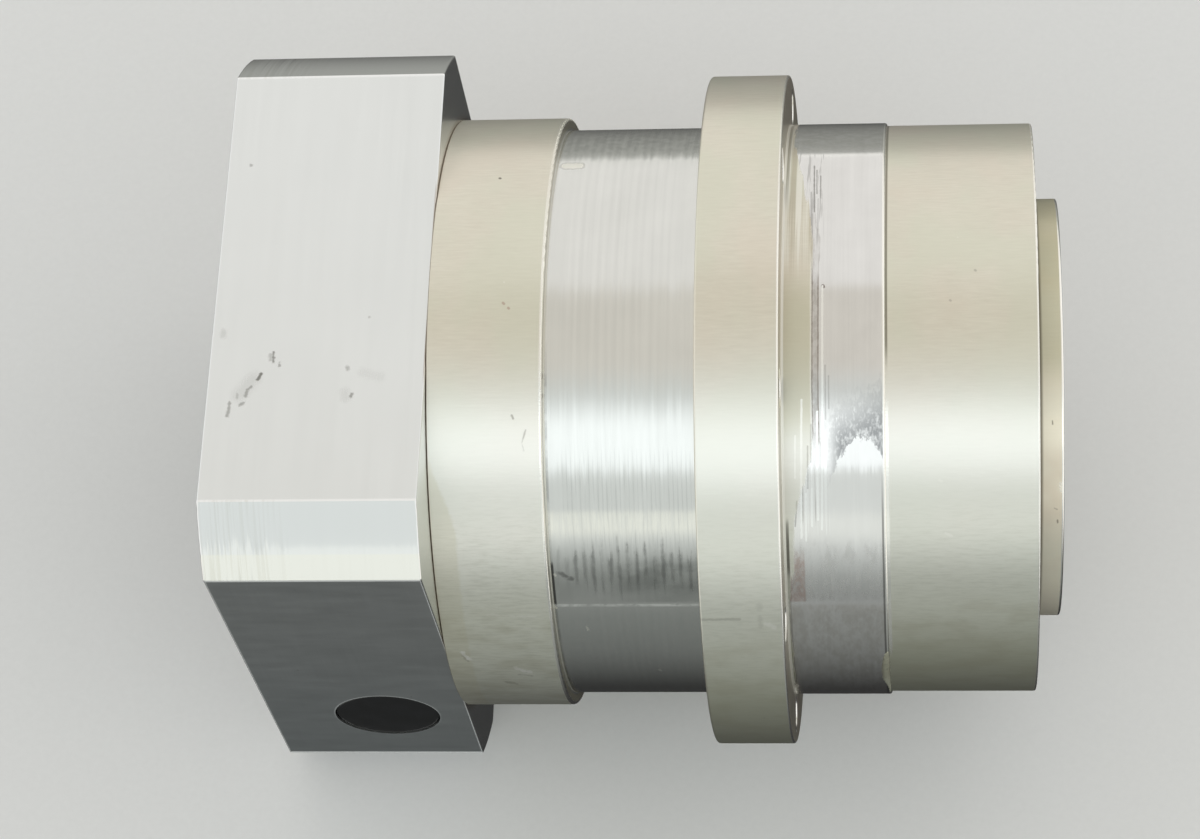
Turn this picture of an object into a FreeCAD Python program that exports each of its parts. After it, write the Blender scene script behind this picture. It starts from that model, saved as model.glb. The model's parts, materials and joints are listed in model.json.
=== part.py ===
import FreeCAD, Part
import math
import os

os.makedirs("parts", exist_ok=True)

V = FreeCAD.Vector
AX = V(1, 0, 0)

# ---------------------------------------------------------------- dimensions, mm
# The gearhead's axis is X, output towards +X. X = 0 is the housing flange's front face.

# housing, outside
X_PLATE_REAR = -103.0
X_PLATE_FRONT = -63.5
X_RING_REAR = -63.5
X_RING_FRONT = -42.6
X_FLANGE_REAR = -14.9
X_FLANGE_FRONT = 0.0
X_PILOT_FRONT = 18.5
X_NOSE_FRONT = 45.8
PLATE_HALF = 54.5
PLATE_CORNER_R = 70.0
PLATE_EDGE = 0.4
RING_R = 57.0
RING_EDGE = 0.25
RING_FRONT_EDGE = 0.45
BAND_R = 54.65
FLANGE_R = 64.5
FLANGE_EDGE = 0.5
FLANGE_FRONT_EDGE = 0.4
PILOT_R = 55.0
NOSE_R = 54.45
NOSE_EDGE = 0.4
PILOT_EDGE = 0.45

# mounting interfaces
FLANGE_HOLE_R = 3.3
FLANGE_HOLE_AT = 59.0
FLANGE_HOLES = 8
MOTOR_PILOT_R = 47.5
MOTOR_PILOT_DEPTH = 5.0
MOTOR_TAP_R = 3.4
MOTOR_TAP_AT = 57.5
MOTOR_TAP_DEPTH = 22.0
MOTOR_SHAFT_R = 9.5
OUT_R = 40.0
X_OUT_REAR = 36.0
X_OUT_FRONT = 50.5
OUT_EDGE = 0.45
OUT_BORE_R = 20.0
OUT_BORE_DEPTH = 6.0
OUT_TAP_R = 2.5
OUT_TAP_AT = 31.5
OUT_TAP_DEPTH = 12.0
OUT_TAPS = 8
OUT_DOWEL_R = 3.0
OUT_DOWEL_DEPTH = 7.0

# access hole and its plug, on the -Y side of the plate
ACCESS_X = -79.8
ACCESS_Z = -23.0
ACCESS_R = 10.25
PLUG_R = 10.19
PLUG_FACE_Y = -54.35
PLUG_END_Y = -46.0
PLUG_EDGE = 0.8

# screws
BODY_SCREW_AT = 50.5
BODY_SCREWS = 8
ADAPTER_SCREW_AT = 53.0
ADAPTER_SCREW_A0 = 67.5
ADAPTER_SCREWS = 4
M5_R, M5_HEAD_R, M5_HEAD_H, M5_HOLE_R, M5_SINK_R = 2.5, 4.25, 5.0, 2.75, 4.75
X_ADAPTER_SEAT = -97.4

# gears: module, pressure angle, tooth counts, tooth thinning for backlash
MOD = 1.0
PRESSURE = math.radians(20.0)
Z_SUN, Z_PLANET, Z_RING = 18, 27, 72
THIN = 0.10
PLANETS = 3
CENTRE_R = MOD * (Z_SUN + Z_PLANET) / 2.0
PLANET_A0 = 90.0

# gear train stations along the axis
X_S1_GEAR = (-46.3, -36.3)
X_S1_SUN = (-48.5, -36.2)
X_S1_PLATE = (-35.6, -30.2)
X_S1_RING = (-47.9, -46.6)
X_S2_GEAR = (-24.3, -8.5)
X_S2_SUN_END = -8.4
X_S2_REAR_PLATE = (-29.2, -25.8)
X_CARRIER_FACE = -7.0
S1_PIN_R, S1_BORE_R, S1_NEEDLE_R, S1_NEEDLES = 4.0, 6.0, 0.95, 15
S2_PIN_R, S2_BORE_R, S2_NEEDLE_R, S2_NEEDLES = 5.0, 7.5, 1.2, 15
SPACER_AT = 25.0

# output bearing pair, mirrored about the housing's inner rib
X_RIB = (14.5, 17.5)
SEAT_R = 45.0
JOURNAL_R = 32.5
X_SHOULDER = 34.5
ROLLER_TILT = math.radians(12.0)
ROLLER_PITCH_R = 38.6
ROLLER_MEAN_R = 3.5
ROLLER_LEN = 11.5
ROLLERS = 24
X_ROLLER = 25.4
RACE_GAP = 0.08

# input bearing and shaft
X_IN_BEARING = (-61.0, -51.0)
IN_BORE_R, IN_OUTER_R = 17.5, 27.5
BALL_R, BALL_PITCH_R, BALLS = 3.0, 22.5, 14
SEAL_LAND_R = 19.0
COLLET_R = 18.0
COLLET_BORE_R = 12.0
X_COLLET_REAR = -97.5
CLAMP_R = 32.0
X_CLAMP = (-86.8, -72.8)

FIT = 0.02


# ---------------------------------------------------------------- helpers
def rounded(points, to_point):
    """A closed wire through flat corners (u, v); a third number rounds that corner."""
    flat = [V(p[0], p[1], 0) for p in points]
    ins, outs, edges = [], [], []
    for k, p in enumerate(points):
        c = flat[k]
        if len(p) == 2:
            ins.append(c)
            outs.append(c)
            continue
        u = (flat[k - 1] - c).normalize()
        w = (flat[(k + 1) % len(flat)] - c).normalize()
        half = u.getAngle(w) / 2.0
        reach = p[2] / math.tan(half)
        inward = (u + w).normalize()
        middle = c + inward * (p[2] / math.sin(half) - p[2])
        ins.append(c + u * reach)
        outs.append(c + w * reach)
        edges.append(Part.Arc(to_point(ins[-1]), to_point(middle), to_point(outs[-1])).toShape())
    for k in range(len(points)):
        a, b = outs[k], ins[(k + 1) % len(points)]
        if a.distanceToPoint(b) > 1e-7:
            edges.append(Part.makeLine(to_point(a), to_point(b)))
    return Part.Wire(Part.__sortEdges__(edges))


def rev(points):
    """A solid of revolution about X from (x, r) corners; a third number rounds that corner."""
    face = Part.Face(rounded(points, lambda q: V(q.x, q.y, 0)))
    return face.revolve(V(0, 0, 0), AX, 360)


def rod(r, x0, x1, y=0.0, z=0.0):
    return Part.makeCylinder(r, x1 - x0, V(x0, y, z), AX)


def tube(ri, ro, x0, x1, y=0.0, z=0.0):
    return rod(ro, x0, x1, y, z).cut(rod(ri, x0 - 1, x1 + 1, y, z))


def cone(r0, r1, x0, x1, y=0.0, z=0.0):
    return Part.makeCone(r0, r1, x1 - x0, V(x0, y, z), AX)


def around(n, r, a0=0.0):
    """n centres (y, z) on a circle about the axis; angles run from +Y to +Z."""
    out = []
    for k in range(n):
        a = math.radians(a0 + 360.0 * k / n)
        out.append((r * math.cos(a), r * math.sin(a)))
    return out


def hexagon(across, x0, x1, y=0.0, z=0.0):
    r = across / math.sqrt(3.0)
    pts = [
        V(x0, y + r * math.cos(k * math.pi / 3), z + r * math.sin(k * math.pi / 3))
        for k in range(7)
    ]
    return Part.Face(Part.makePolygon(pts)).extrude(V(x1 - x0, 0, 0))


def turned(shape, degrees):
    s = shape.copy()
    s.rotate(V(0, 0, 0), AX, degrees)
    return s


def moved(shape, y, z):
    s = shape.copy()
    s.translate(V(0, y, z))
    return s


def write(name, shape):
    shape.exportStep("parts/%s.step" % name)


def cap_screw(r, head_r, head_h, x_seat, x_end, across, y, z):
    """Socket-head screw along +X whose head sits on x_seat."""
    c = 0.35
    s = rev(
        [
            (x_seat - head_h, 0),
            (x_seat - head_h, head_r - c),
            (x_seat - head_h + c, head_r),
            (x_seat, head_r),
            (x_seat, r),
            (x_end - 0.5, r),
            (x_end, r - 0.5),
            (x_end, 0),
        ]
    )
    s = s.cut(hexagon(across, x_seat - head_h - 1, x_seat - head_h + head_h * 0.5))
    return moved(s, y, z)


# ---------------------------------------------------------------- gear teeth
def inv(a):
    return math.tan(a) - a


def half_angle(z, r, thickness):
    """Half the angle a tooth takes up at radius r."""
    rp = MOD * z / 2.0
    rb = rp * math.cos(PRESSURE)
    a = math.acos(min(1.0, rb / r))
    return thickness / (2.0 * rp) + inv(PRESSURE) - inv(a)


def gear_wire(z, r_root, r_tip, thickness, phase, x):
    """Closed tooth outline in the plane at x; one tooth is centred on phase."""
    rb = MOD * z / 2.0 * math.cos(PRESSURE)
    r_start = max(r_root, rb + 1e-6)
    radii = [r_start + (r_tip - r_start) * (k / 6.0) ** 1.3 for k in range(7)]

    def at(r, a):
        return V(x, r * math.cos(a), r * math.sin(a))

    edges = []
    pitch = 2.0 * math.pi / z
    for k in range(z):
        c = phase + k * pitch
        low = [at(r, c - half_angle(z, r, thickness)) for r in radii]
        high = [at(r, c + half_angle(z, r, thickness)) for r in reversed(radii)]
        h0 = half_angle(z, r_start, thickness)
        h1 = half_angle(z, r_tip, thickness)
        if r_start > r_root + 1e-4:
            edges.append(Part.makeLine(at(r_root, c - h0), low[0]))
        up = Part.BSplineCurve()
        up.interpolate(low)
        edges.append(up.toShape())
        edges.append(Part.Arc(at(r_tip, c - h1), at(r_tip, c), at(r_tip, c + h1)).toShape())
        down = Part.BSplineCurve()
        down.interpolate(high)
        edges.append(down.toShape())
        if r_start > r_root + 1e-4:
            edges.append(Part.makeLine(high[-1], at(r_root, c + h0)))
        n = c + pitch
        mid = c + pitch / 2.0
        edges.append(Part.Arc(at(r_root, c + h0), at(r_root, mid), at(r_root, n - h0)).toShape())
    return Part.Wire(edges)


def gear_solid(z, r_root, r_tip, thickness, phase, x0, x1):
    return Part.Face(gear_wire(z, r_root, r_tip, thickness, phase, x0)).extrude(V(x1 - x0, 0, 0))


TOOTH = math.pi * MOD / 2.0 - THIN
R_SUN, R_PLANET, R_RING = (MOD * z / 2.0 for z in (Z_SUN, Z_PLANET, Z_RING))
PLANET_ANGLES = [PLANET_A0 + 120.0 * k for k in range(PLANETS)]


def planet_phase(a):
    """Phase of a planet at angle a (radians) in mesh with a sun tooth at angle 0."""
    return a + math.pi - (R_SUN * (0.0 - a) + math.pi * MOD / 2.0) / R_PLANET


def ring_phase():
    """Phase of the ring's teeth in mesh with the planet at the first angle."""
    a = math.radians(PLANET_ANGLES[0])
    return a + (R_PLANET * (planet_phase(a) - a) - math.pi * MOD / 2.0) / R_RING


def external(z, phase, x0, x1):
    r = MOD * z / 2.0
    g = gear_solid(z, r - 1.25 * MOD, r + MOD, TOOTH, phase, x0, x1)
    c = 0.6
    trim = rev(
        [
            (x0, 0),
            (x0, r + MOD - c),
            (x0 + c, r + MOD + 0.02),
            (x1 - c, r + MOD + 0.02),
            (x1, r + MOD - c),
            (x1, 0),
        ]
    )
    return g.common(trim)


# ---------------------------------------------------------------- adapter plate
slab = [
    (X_PLATE_REAR, -PLATE_HALF, PLATE_EDGE),
    (X_PLATE_FRONT, -PLATE_HALF, PLATE_EDGE),
    (X_PLATE_FRONT, PLATE_HALF, PLATE_EDGE),
    (X_PLATE_REAR, PLATE_HALF, PLATE_EDGE),
]
across = Part.Face(rounded(slab, lambda q: V(q.x, -PLATE_HALF - 5, q.y))).extrude(
    V(0, 2 * PLATE_HALF + 10, 0)
)
upright = Part.Face(rounded(slab, lambda q: V(q.x, q.y, -PLATE_HALF - 5))).extrude(
    V(0, 0, 2 * PLATE_HALF + 10)
)
box = across.common(upright)
corner_barrel = rev(
    [
        (X_PLATE_REAR, 0),
        (X_PLATE_REAR, PLATE_CORNER_R, PLATE_EDGE),
        (X_PLATE_FRONT, PLATE_CORNER_R, PLATE_EDGE),
        (X_PLATE_FRONT, 0),
    ]
)
plate = box.common(corner_barrel)
x_recess = X_PLATE_REAR + MOTOR_PILOT_DEPTH
CAVITY_R = 40.0
cuts = [
    rod(MOTOR_PILOT_R, X_PLATE_REAR - 1, x_recess),
    rod(CAVITY_R, x_recess - 1, X_PLATE_FRONT + 1),
]
for y, z in around(4, MOTOR_TAP_AT, 45.0):
    cuts.append(rod(MOTOR_TAP_R, X_PLATE_REAR - 1, X_PLATE_REAR + MOTOR_TAP_DEPTH, y, z))
    cuts.append(
        cone(
            MOTOR_TAP_R,
            0.0,
            X_PLATE_REAR + MOTOR_TAP_DEPTH,
            X_PLATE_REAR + MOTOR_TAP_DEPTH + 2.0,
            y,
            z,
        )
    )
for y, z in around(ADAPTER_SCREWS, ADAPTER_SCREW_AT, ADAPTER_SCREW_A0):
    cuts.append(rod(M5_SINK_R, X_PLATE_REAR - 1, X_ADAPTER_SEAT, y, z))
    cuts.append(rod(M5_HOLE_R, X_ADAPTER_SEAT - 1, X_PLATE_FRONT + 1, y, z))
access = Part.makeCylinder(
    ACCESS_R, 30.0, V(ACCESS_X, -PLATE_HALF - 1, ACCESS_Z), V(0, 1, 0)
)
cuts.append(access)
plate = plate.cut(cuts)
write("adapter_plate", plate)

# plug: a cup pushed into the access hole
plug_len = PLUG_END_Y - PLUG_FACE_Y
plug = Part.makeCylinder(PLUG_R, plug_len, V(ACCESS_X, PLUG_FACE_Y, ACCESS_Z), V(0, 1, 0))
rim = [e for e in plug.Edges if e.Closed]
plug = plug.makeFillet(PLUG_EDGE, [e for e in rim if abs(e.Vertexes[0].Y - PLUG_FACE_Y) < 1e-6])
plug = plug.cut(
    Part.makeCylinder(
        PLUG_R - 1.7, plug_len, V(ACCESS_X, PLUG_FACE_Y + 2.4, ACCESS_Z), V(0, 1, 0)
    )
)
for k in range(6):
    a = math.radians(60 * k + 30)
    slot = Part.makeBox(4.0, plug_len, 1.0, V(PLUG_R - 3.0, 0, -0.5))
    slot.rotate(V(0, 0, 0), V(0, 1, 0), math.degrees(a))
    slot.translate(V(ACCESS_X, PLUG_FACE_Y + 4.2, ACCESS_Z))
    plug = plug.cut(slot)
write("access_plug", plug)

# ---------------------------------------------------------------- input housing
X_SPIGOT_REAR = -69.4
X_SEAL_END = -62.2
X_IN_CAVITY = -48.3
SPIGOT_R = 47.0
CLIP_GROOVE = (-51.0, -49.5)
inp = rev(
    [
        (X_RING_REAR, RING_R, RING_EDGE),
        (X_RING_FRONT, RING_R, RING_FRONT_EDGE),
        (X_RING_FRONT, SPIGOT_R + FIT),
        (X_IN_CAVITY, SPIGOT_R + FIT),
        (X_IN_CAVITY, IN_OUTER_R),
        (CLIP_GROOVE[1], IN_OUTER_R),
        (CLIP_GROOVE[1], IN_OUTER_R + 1.2),
        (CLIP_GROOVE[0], IN_OUTER_R + 1.2),
        (CLIP_GROOVE[0], IN_OUTER_R),
        (X_IN_BEARING[0], IN_OUTER_R),
        (X_IN_BEARING[0], 22.5),
        (X_SEAL_END, 22.5),
        (X_SEAL_END, 26.0),
        (X_SPIGOT_REAR, 26.0),
        (X_SPIGOT_REAR, CAVITY_R - FIT - 0.6),
        (X_SPIGOT_REAR + 0.6, CAVITY_R - FIT),
        (X_RING_REAR, CAVITY_R - FIT),
    ]
)
cuts = []
x_head = X_RING_REAR + 5.4
for y, z in around(BODY_SCREWS, BODY_SCREW_AT):
    cuts.append(rod(M5_HOLE_R, X_RING_REAR - 1, X_RING_FRONT + 1, y, z))
    cuts.append(rod(M5_SINK_R, X_RING_REAR - 1, x_head, y, z))
for y, z in around(ADAPTER_SCREWS, ADAPTER_SCREW_AT, ADAPTER_SCREW_A0):
    cuts.append(rod(M5_R + FIT, X_RING_REAR - 1, X_RING_REAR + 10.0, y, z))
inp = inp.cut(cuts)
write("input_housing", inp)

# ---------------------------------------------------------------- ring gear
X_SP0, X_SP1 = -48.0, -8.2
GROOVE_R, GROOVE_W = 45.3, 2.4
X_ORING = (-45.3, -11.5)
SP = SPIGOT_R - FIT
g0, g1 = X_ORING[0] - GROOVE_W / 2, X_ORING[0] + GROOVE_W / 2
g2, g3 = X_ORING[1] - GROOVE_W / 2, X_ORING[1] + GROOVE_W / 2
ring = rev(
    [
        (X_SP0, 30.0),
        (X_SP0, SP - 0.4),
        (X_SP0 + 0.4, SP),
        (g0, SP),
        (g0, GROOVE_R),
        (g1, GROOVE_R),
        (g1, SP),
        (X_RING_FRONT, SP),
        (X_RING_FRONT, BAND_R),
        (X_FLANGE_REAR, BAND_R),
        (X_FLANGE_REAR, SP),
        (g2, SP),
        (g2, GROOVE_R),
        (g3, GROOVE_R),
        (g3, SP),
        (X_SP1 - 0.4, SP),
        (X_SP1, SP - 0.4),
        (X_SP1, 30.0),
    ]
)
# the ring's tooth spaces are the teeth of an external gear, thickened by the backlash
space = math.pi * MOD / 2.0 + THIN
core = gear_solid(
    Z_RING,
    R_RING - MOD,
    R_RING + 1.25 * MOD,
    space,
    ring_phase() + math.pi / Z_RING,
    X_SP0 - 1,
    X_SP1 + 1,
)
ring = ring.cut(core)
ring = ring.cut(
    [rod(M5_HOLE_R, X_SP0 - 1, X_SP1 + 1, y, z) for y, z in around(BODY_SCREWS, BODY_SCREW_AT)]
)
write("ring_gear", ring)


def o_ring(x):
    return Part.makeTorus(46.15, 0.82, V(x, 0, 0), AX)


write("rear_o_ring", o_ring(X_ORING[0]))
write("front_o_ring", o_ring(X_ORING[1]))

# ---------------------------------------------------------------- output housing
X_SEAL_SEAT = 37.0
SEAL_BORE_R = 47.5
X_SPIGOT_STOP = -8.0
out_h = rev(
    [
        (X_FLANGE_REAR, FLANGE_R, FLANGE_EDGE),
        (X_FLANGE_FRONT, FLANGE_R, FLANGE_FRONT_EDGE),
        (X_FLANGE_FRONT, PILOT_R),
        (X_PILOT_FRONT, PILOT_R, PILOT_EDGE),
        (X_PILOT_FRONT, NOSE_R),
        (X_NOSE_FRONT, NOSE_R, NOSE_EDGE),
        (X_NOSE_FRONT, SEAL_BORE_R + 0.5),
        (X_NOSE_FRONT - 0.5, SEAL_BORE_R),
        (X_SEAL_SEAT, SEAL_BORE_R),
        (X_SEAL_SEAT, SEAT_R),
        (X_RIB[1], SEAT_R),
        (X_RIB[1], 41.0),
        (X_RIB[0], 41.0),
        (X_RIB[0], SEAT_R),
        (X_SPIGOT_STOP, SEAT_R),
        (X_SPIGOT_STOP, SPIGOT_R + FIT),
        (X_FLANGE_REAR, SPIGOT_R + FIT),
    ]
)
cuts = [
    rod(FLANGE_HOLE_R, X_FLANGE_REAR - 1, X_FLANGE_FRONT + 1, y, z)
    for y, z in around(FLANGE_HOLES, FLANGE_HOLE_AT, 22.5)
]
cuts += [
    cone(FLANGE_HOLE_R, FLANGE_HOLE_R + 0.2, X_FLANGE_FRONT - 0.2, X_FLANGE_FRONT, y, z)
    for y, z in around(FLANGE_HOLES, FLANGE_HOLE_AT, 22.5)
]
cuts += [
    rod(M5_R + FIT, X_FLANGE_REAR - 1, X_FLANGE_REAR + 13.0, y, z)
    for y, z in around(BODY_SCREWS, BODY_SCREW_AT)
]
out_h = out_h.cut(cuts)
write("output_housing", out_h)

# ---------------------------------------------------------------- screws of the housing
write(
    "body_screws",
    Part.makeCompound(
        [
            cap_screw(M5_R, M5_HEAD_R, M5_HEAD_H, x_head - FIT, -3.0, 4.0, y, z)
            for y, z in around(BODY_SCREWS, BODY_SCREW_AT)
        ]
    ),
)
write(
    "adapter_screws",
    Part.makeCompound(
        [
            cap_screw(M5_R, M5_HEAD_R, M5_HEAD_H, X_ADAPTER_SEAT - FIT, -55.0, 4.0, y, z)
            for y, z in around(ADAPTER_SCREWS, ADAPTER_SCREW_AT, ADAPTER_SCREW_A0)
        ]
    ),
)

# ---------------------------------------------------------------- output flange and carrier
X_THREAD = -2.5
X_POCKET = 15.0
POCKET_R = 14.0
X_PIN_END = 5.0
of = rev(
    [
        (X_CARRIER_FACE, POCKET_R),
        (X_CARRIER_FACE, 31.4),
        (X_CARRIER_FACE + 0.6, 32.0),
        (X_THREAD, 32.0),
        (X_THREAD, JOURNAL_R - FIT),
        (X_SHOULDER, JOURNAL_R - FIT),
        (X_SHOULDER, 36.5),
        (X_OUT_REAR, 36.5),
        (X_OUT_REAR, OUT_R - 0.6),
        (X_OUT_REAR + 0.6, OUT_R),
        (X_OUT_FRONT, OUT_R, OUT_EDGE),
        (X_OUT_FRONT, OUT_BORE_R + 0.4),
        (X_OUT_FRONT - 0.4, OUT_BORE_R),
        (X_OUT_FRONT - OUT_BORE_DEPTH, OUT_BORE_R),
        (X_OUT_FRONT - OUT_BORE_DEPTH, 0.0),
        (X_POCKET, 0.0),
        (X_POCKET, POCKET_R),
    ]
)
cuts = []
for y, z in around(OUT_TAPS, OUT_TAP_AT):
    cuts.append(rod(OUT_TAP_R, X_OUT_FRONT - OUT_TAP_DEPTH, X_OUT_FRONT + 1, y, z))
    cuts.append(
        cone(0.0, OUT_TAP_R, X_OUT_FRONT - OUT_TAP_DEPTH - 1.4, X_OUT_FRONT - OUT_TAP_DEPTH, y, z)
    )
for y, z in around(1, OUT_TAP_AT, 112.5):
    cuts.append(rod(OUT_DOWEL_R, X_OUT_FRONT - OUT_DOWEL_DEPTH, X_OUT_FRONT + 1, y, z))
for y, z in around(PLANETS, CENTRE_R, PLANET_A0):
    cuts.append(rod(S2_PIN_R + FIT, X_CARRIER_FACE - 1, X_PIN_END + 0.2, y, z))
for y, z in around(PLANETS, SPACER_AT, PLANET_A0 + 60):
    cuts.append(rod(3.0 + FIT, X_CARRIER_FACE - 1, X_PIN_END + 1.0, y, z))
of = of.cut(cuts)
write("output_flange", of)

xa, xb = X_S2_REAR_PLATE
rear_plate = tube(12.0, 33.0, xa, xb)
cuts = [rod(S2_PIN_R + FIT, xa - 1, xb + 1, y, z) for y, z in around(PLANETS, CENTRE_R, PLANET_A0)]
for y, z in around(PLANETS, SPACER_AT, PLANET_A0 + 60):
    cuts.append(rod(3.0 + FIT, xa - 1, xb + 1, y, z))
    cuts.append(cone(6.0 + FIT, 3.0 + FIT, xa, xa + 3.0, y, z))
rear_plate = rear_plate.cut(cuts)
write("carrier_rear_plate", rear_plate)
write(
    "carrier_spacers",
    Part.makeCompound(
        [
            tube(3.1, 7.0, xb + FIT, X_CARRIER_FACE - FIT, y, z)
            for y, z in around(PLANETS, SPACER_AT, PLANET_A0 + 60)
        ]
    ),
)
csk = rev(
    [
        (xa + 0.1, 0),
        (xa + 0.1, 5.9 - FIT),
        (xa + 3.0, 3.0),
        (X_PIN_END - 0.5, 3.0),
        (X_PIN_END, 2.5),
        (X_PIN_END, 0),
    ]
).cut(hexagon(4.0, xa - 1, xa + 2.1))
write(
    "carrier_screws",
    Part.makeCompound(
        [moved(csk, y, z) for y, z in around(PLANETS, SPACER_AT, PLANET_A0 + 60)]
    ),
)
pin2 = rev(
    [
        (xa + 0.2, 0),
        (xa + 0.2, S2_PIN_R - 0.3),
        (xa + 0.5, S2_PIN_R),
        (X_PIN_END - 0.3, S2_PIN_R),
        (X_PIN_END, S2_PIN_R - 0.3),
        (X_PIN_END, 0),
    ]
)
write(
    "stage2_planet_pins",
    Part.makeCompound([moved(pin2, y, z) for y, z in around(PLANETS, CENTRE_R, PLANET_A0)]),
)
washers = []
for y, z in around(PLANETS, CENTRE_R, PLANET_A0):
    washers.append(tube(S2_PIN_R + 0.05, 11.0, X_CARRIER_FACE - 1.3, X_CARRIER_FACE - FIT, y, z))
    washers.append(tube(S2_PIN_R + 0.05, 11.0, xb + FIT, xb + 1.3, y, z))
write("stage2_thrust_washers", Part.makeCompound(washers))

nut = tube(32.0 + FIT, 39.5, -6.9, X_THREAD - FIT)
for k in range(4):
    notch = Part.makeBox(8.0, 5.0, 5.0, V(-8.0, -2.5, 37.0))
    nut = nut.cut(turned(notch, 45 + 90 * k))
write("bearing_lock_nut", nut)

# ---------------------------------------------------------------- output bearings
slant = ROLLER_PITCH_R / math.sin(ROLLER_TILT)
apex = X_ROLLER - ROLLER_PITCH_R / math.tan(ROLLER_TILT)
roller_half = math.atan(ROLLER_MEAN_R / slant)
cone_t = math.tan(ROLLER_TILT - roller_half)
cup_t = math.tan(ROLLER_TILT + roller_half)
ct, st = math.cos(ROLLER_TILT), math.sin(ROLLER_TILT)


def on_axis(s, n=0.0):
    """(x, r) at slant distance s along the roller axis, offset n outwards."""
    return (apex + s * ct - n * st, s * st + n * ct)


s0, s1 = slant - ROLLER_LEN / 2, slant + ROLLER_LEN / 2


def roller(grow=0.0, longer=0.0):
    a, b = s0 - longer, s1 + longer
    ra, rb = a * math.tan(roller_half) + grow, b * math.tan(roller_half) + grow
    x, r = on_axis(a)
    return Part.makeCone(ra, rb, b - a, V(x, r, 0), V(ct, st, 0))


def cone_r(x):
    return (x - apex) * cone_t - RACE_GAP


def cup_r(x):
    return (x - apex) * cup_t + RACE_GAP


# the big rib's face stands square to the roller's axis
rib_s = s1 + 0.12
rib_bottom = on_axis(rib_s, -ROLLER_MEAN_R - 0.12)
rib_top = on_axis(rib_s, -ROLLER_MEAN_R + 1.5)
small_s = s0 - 0.12
small_bottom = on_axis(small_s, -ROLLER_MEAN_R)
small_top = on_axis(small_s, -ROLLER_MEAN_R + 0.9)
front_cone = rev(
    [
        (18.0, JOURNAL_R + 0.0),
        (18.0, small_top[1] - 0.2),
        (small_top[0], small_top[1]),
        (small_bottom[0], cone_r(small_bottom[0])),
        (rib_bottom[0], cone_r(rib_bottom[0])),
        rib_top,
        (X_SHOULDER - FIT, rib_top[1]),
        (X_SHOULDER - FIT, JOURNAL_R + 0.0),
    ]
)
x_cup0, x_cup1 = X_RIB[1] + FIT, 31.0
front_cup = rev(
    [
        (x_cup0, SEAT_R - FIT),
        (x_cup0, cup_r(x_cup0)),
        (x_cup1, cup_r(x_cup1)),
        (x_cup1, SEAT_R - FIT),
    ]
)
front_rollers = [turned(roller(), 360.0 * k / ROLLERS) for k in range(ROLLERS)]
front_cage = rev([on_axis(s0 - 1.5, 1.0), on_axis(s0 - 1.5, 2.4), on_axis(s1 + 1.3, 2.4), on_axis(s1 + 1.3, 1.0)])
front_cage = front_cage.cut(
    [turned(roller(0.15, 0.15), 360.0 * k / ROLLERS) for k in range(ROLLERS)]
)
X_MIRROR = (X_RIB[0] + X_RIB[1]) / 2.0


def mirrored(s):
    return s.mirror(V(X_MIRROR, 0, 0), AX)


write("front_bearing_cone", front_cone)
write("front_bearing_cup", front_cup)
write("front_bearing_rollers", Part.makeCompound(front_rollers))
write("front_bearing_cage", front_cage)
write("rear_bearing_cone", mirrored(front_cone))
write("rear_bearing_cup", mirrored(front_cup))
write("rear_bearing_rollers", Part.makeCompound([mirrored(r) for r in front_rollers]))
write("rear_bearing_cage", mirrored(front_cage))

# ---------------------------------------------------------------- shaft seals
LIP = 0.06
write(
    "output_shaft_seal",
    rev(
        [
            (37.6, SEAL_BORE_R - FIT),
            (45.0, SEAL_BORE_R - FIT),
            (45.0, OUT_R + 0.35),
            (44.3, OUT_R + LIP),
            (43.7, OUT_R + 1.0),
            (42.6, OUT_R + 1.0),
            (41.0, OUT_R + LIP),
            (39.4, OUT_R + 1.0),
            (39.4, OUT_R + 2.5),
            (42.6, OUT_R + 2.5),
            (42.6, 45.6),
            (37.6, 45.6),
        ]
    ),
)
write("output_seal_spring", Part.makeTorus(OUT_R + 2.5 + 0.67, 0.65, V(40.6, 0, 0), AX))
write(
    "input_shaft_seal",
    rev(
        [
            (X_SEAL_END - FIT, 26.0 - FIT),
            (-69.25, 26.0 - FIT),
            (-69.25, SEAL_LAND_R + 0.35),
            (-68.6, SEAL_LAND_R + LIP),
            (-68.0, SEAL_LAND_R + 1.0),
            (-67.2, SEAL_LAND_R + 1.0),
            (-65.6, SEAL_LAND_R + LIP),
            (-64.0, SEAL_LAND_R + 1.0),
            (-64.0, SEAL_LAND_R + 2.3),
            (-67.0, SEAL_LAND_R + 2.3),
            (-67.0, 24.4),
            (X_SEAL_END - FIT, 24.4),
        ]
    ),
)
write("input_seal_spring", Part.makeTorus(SEAL_LAND_R + 2.3 + 0.62, 0.6, V(-65.3, 0, 0), AX))

# ---------------------------------------------------------------- planets
for stage, xs, bore, pin, needle, count in (
    (1, X_S1_GEAR, S1_BORE_R, S1_PIN_R, S1_NEEDLE_R, S1_NEEDLES),
    (2, X_S2_GEAR, S2_BORE_R, S2_PIN_R, S2_NEEDLE_R, S2_NEEDLES),
):
    for k, a in enumerate(PLANET_ANGLES):
        rad = math.radians(a)
        y, z = CENTRE_R * math.cos(rad), CENTRE_R * math.sin(rad)
        g = external(Z_PLANET, planet_phase(rad), xs[0], xs[1])
        g = g.cut(rod(bore, xs[0] - 1, xs[1] + 1))
        write("stage%d_planet_gear_%d" % (stage, k + 1), moved(g, y, z))
        mid = (bore + pin) / 2.0
        needles = [
            rod(needle, xs[0] + 0.25, xs[1] - 0.25, y + dy, z + dz)
            for dy, dz in around(count, mid, a)
        ]
        write("stage%d_needle_rollers_%d" % (stage, k + 1), Part.makeCompound(needles))

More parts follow.
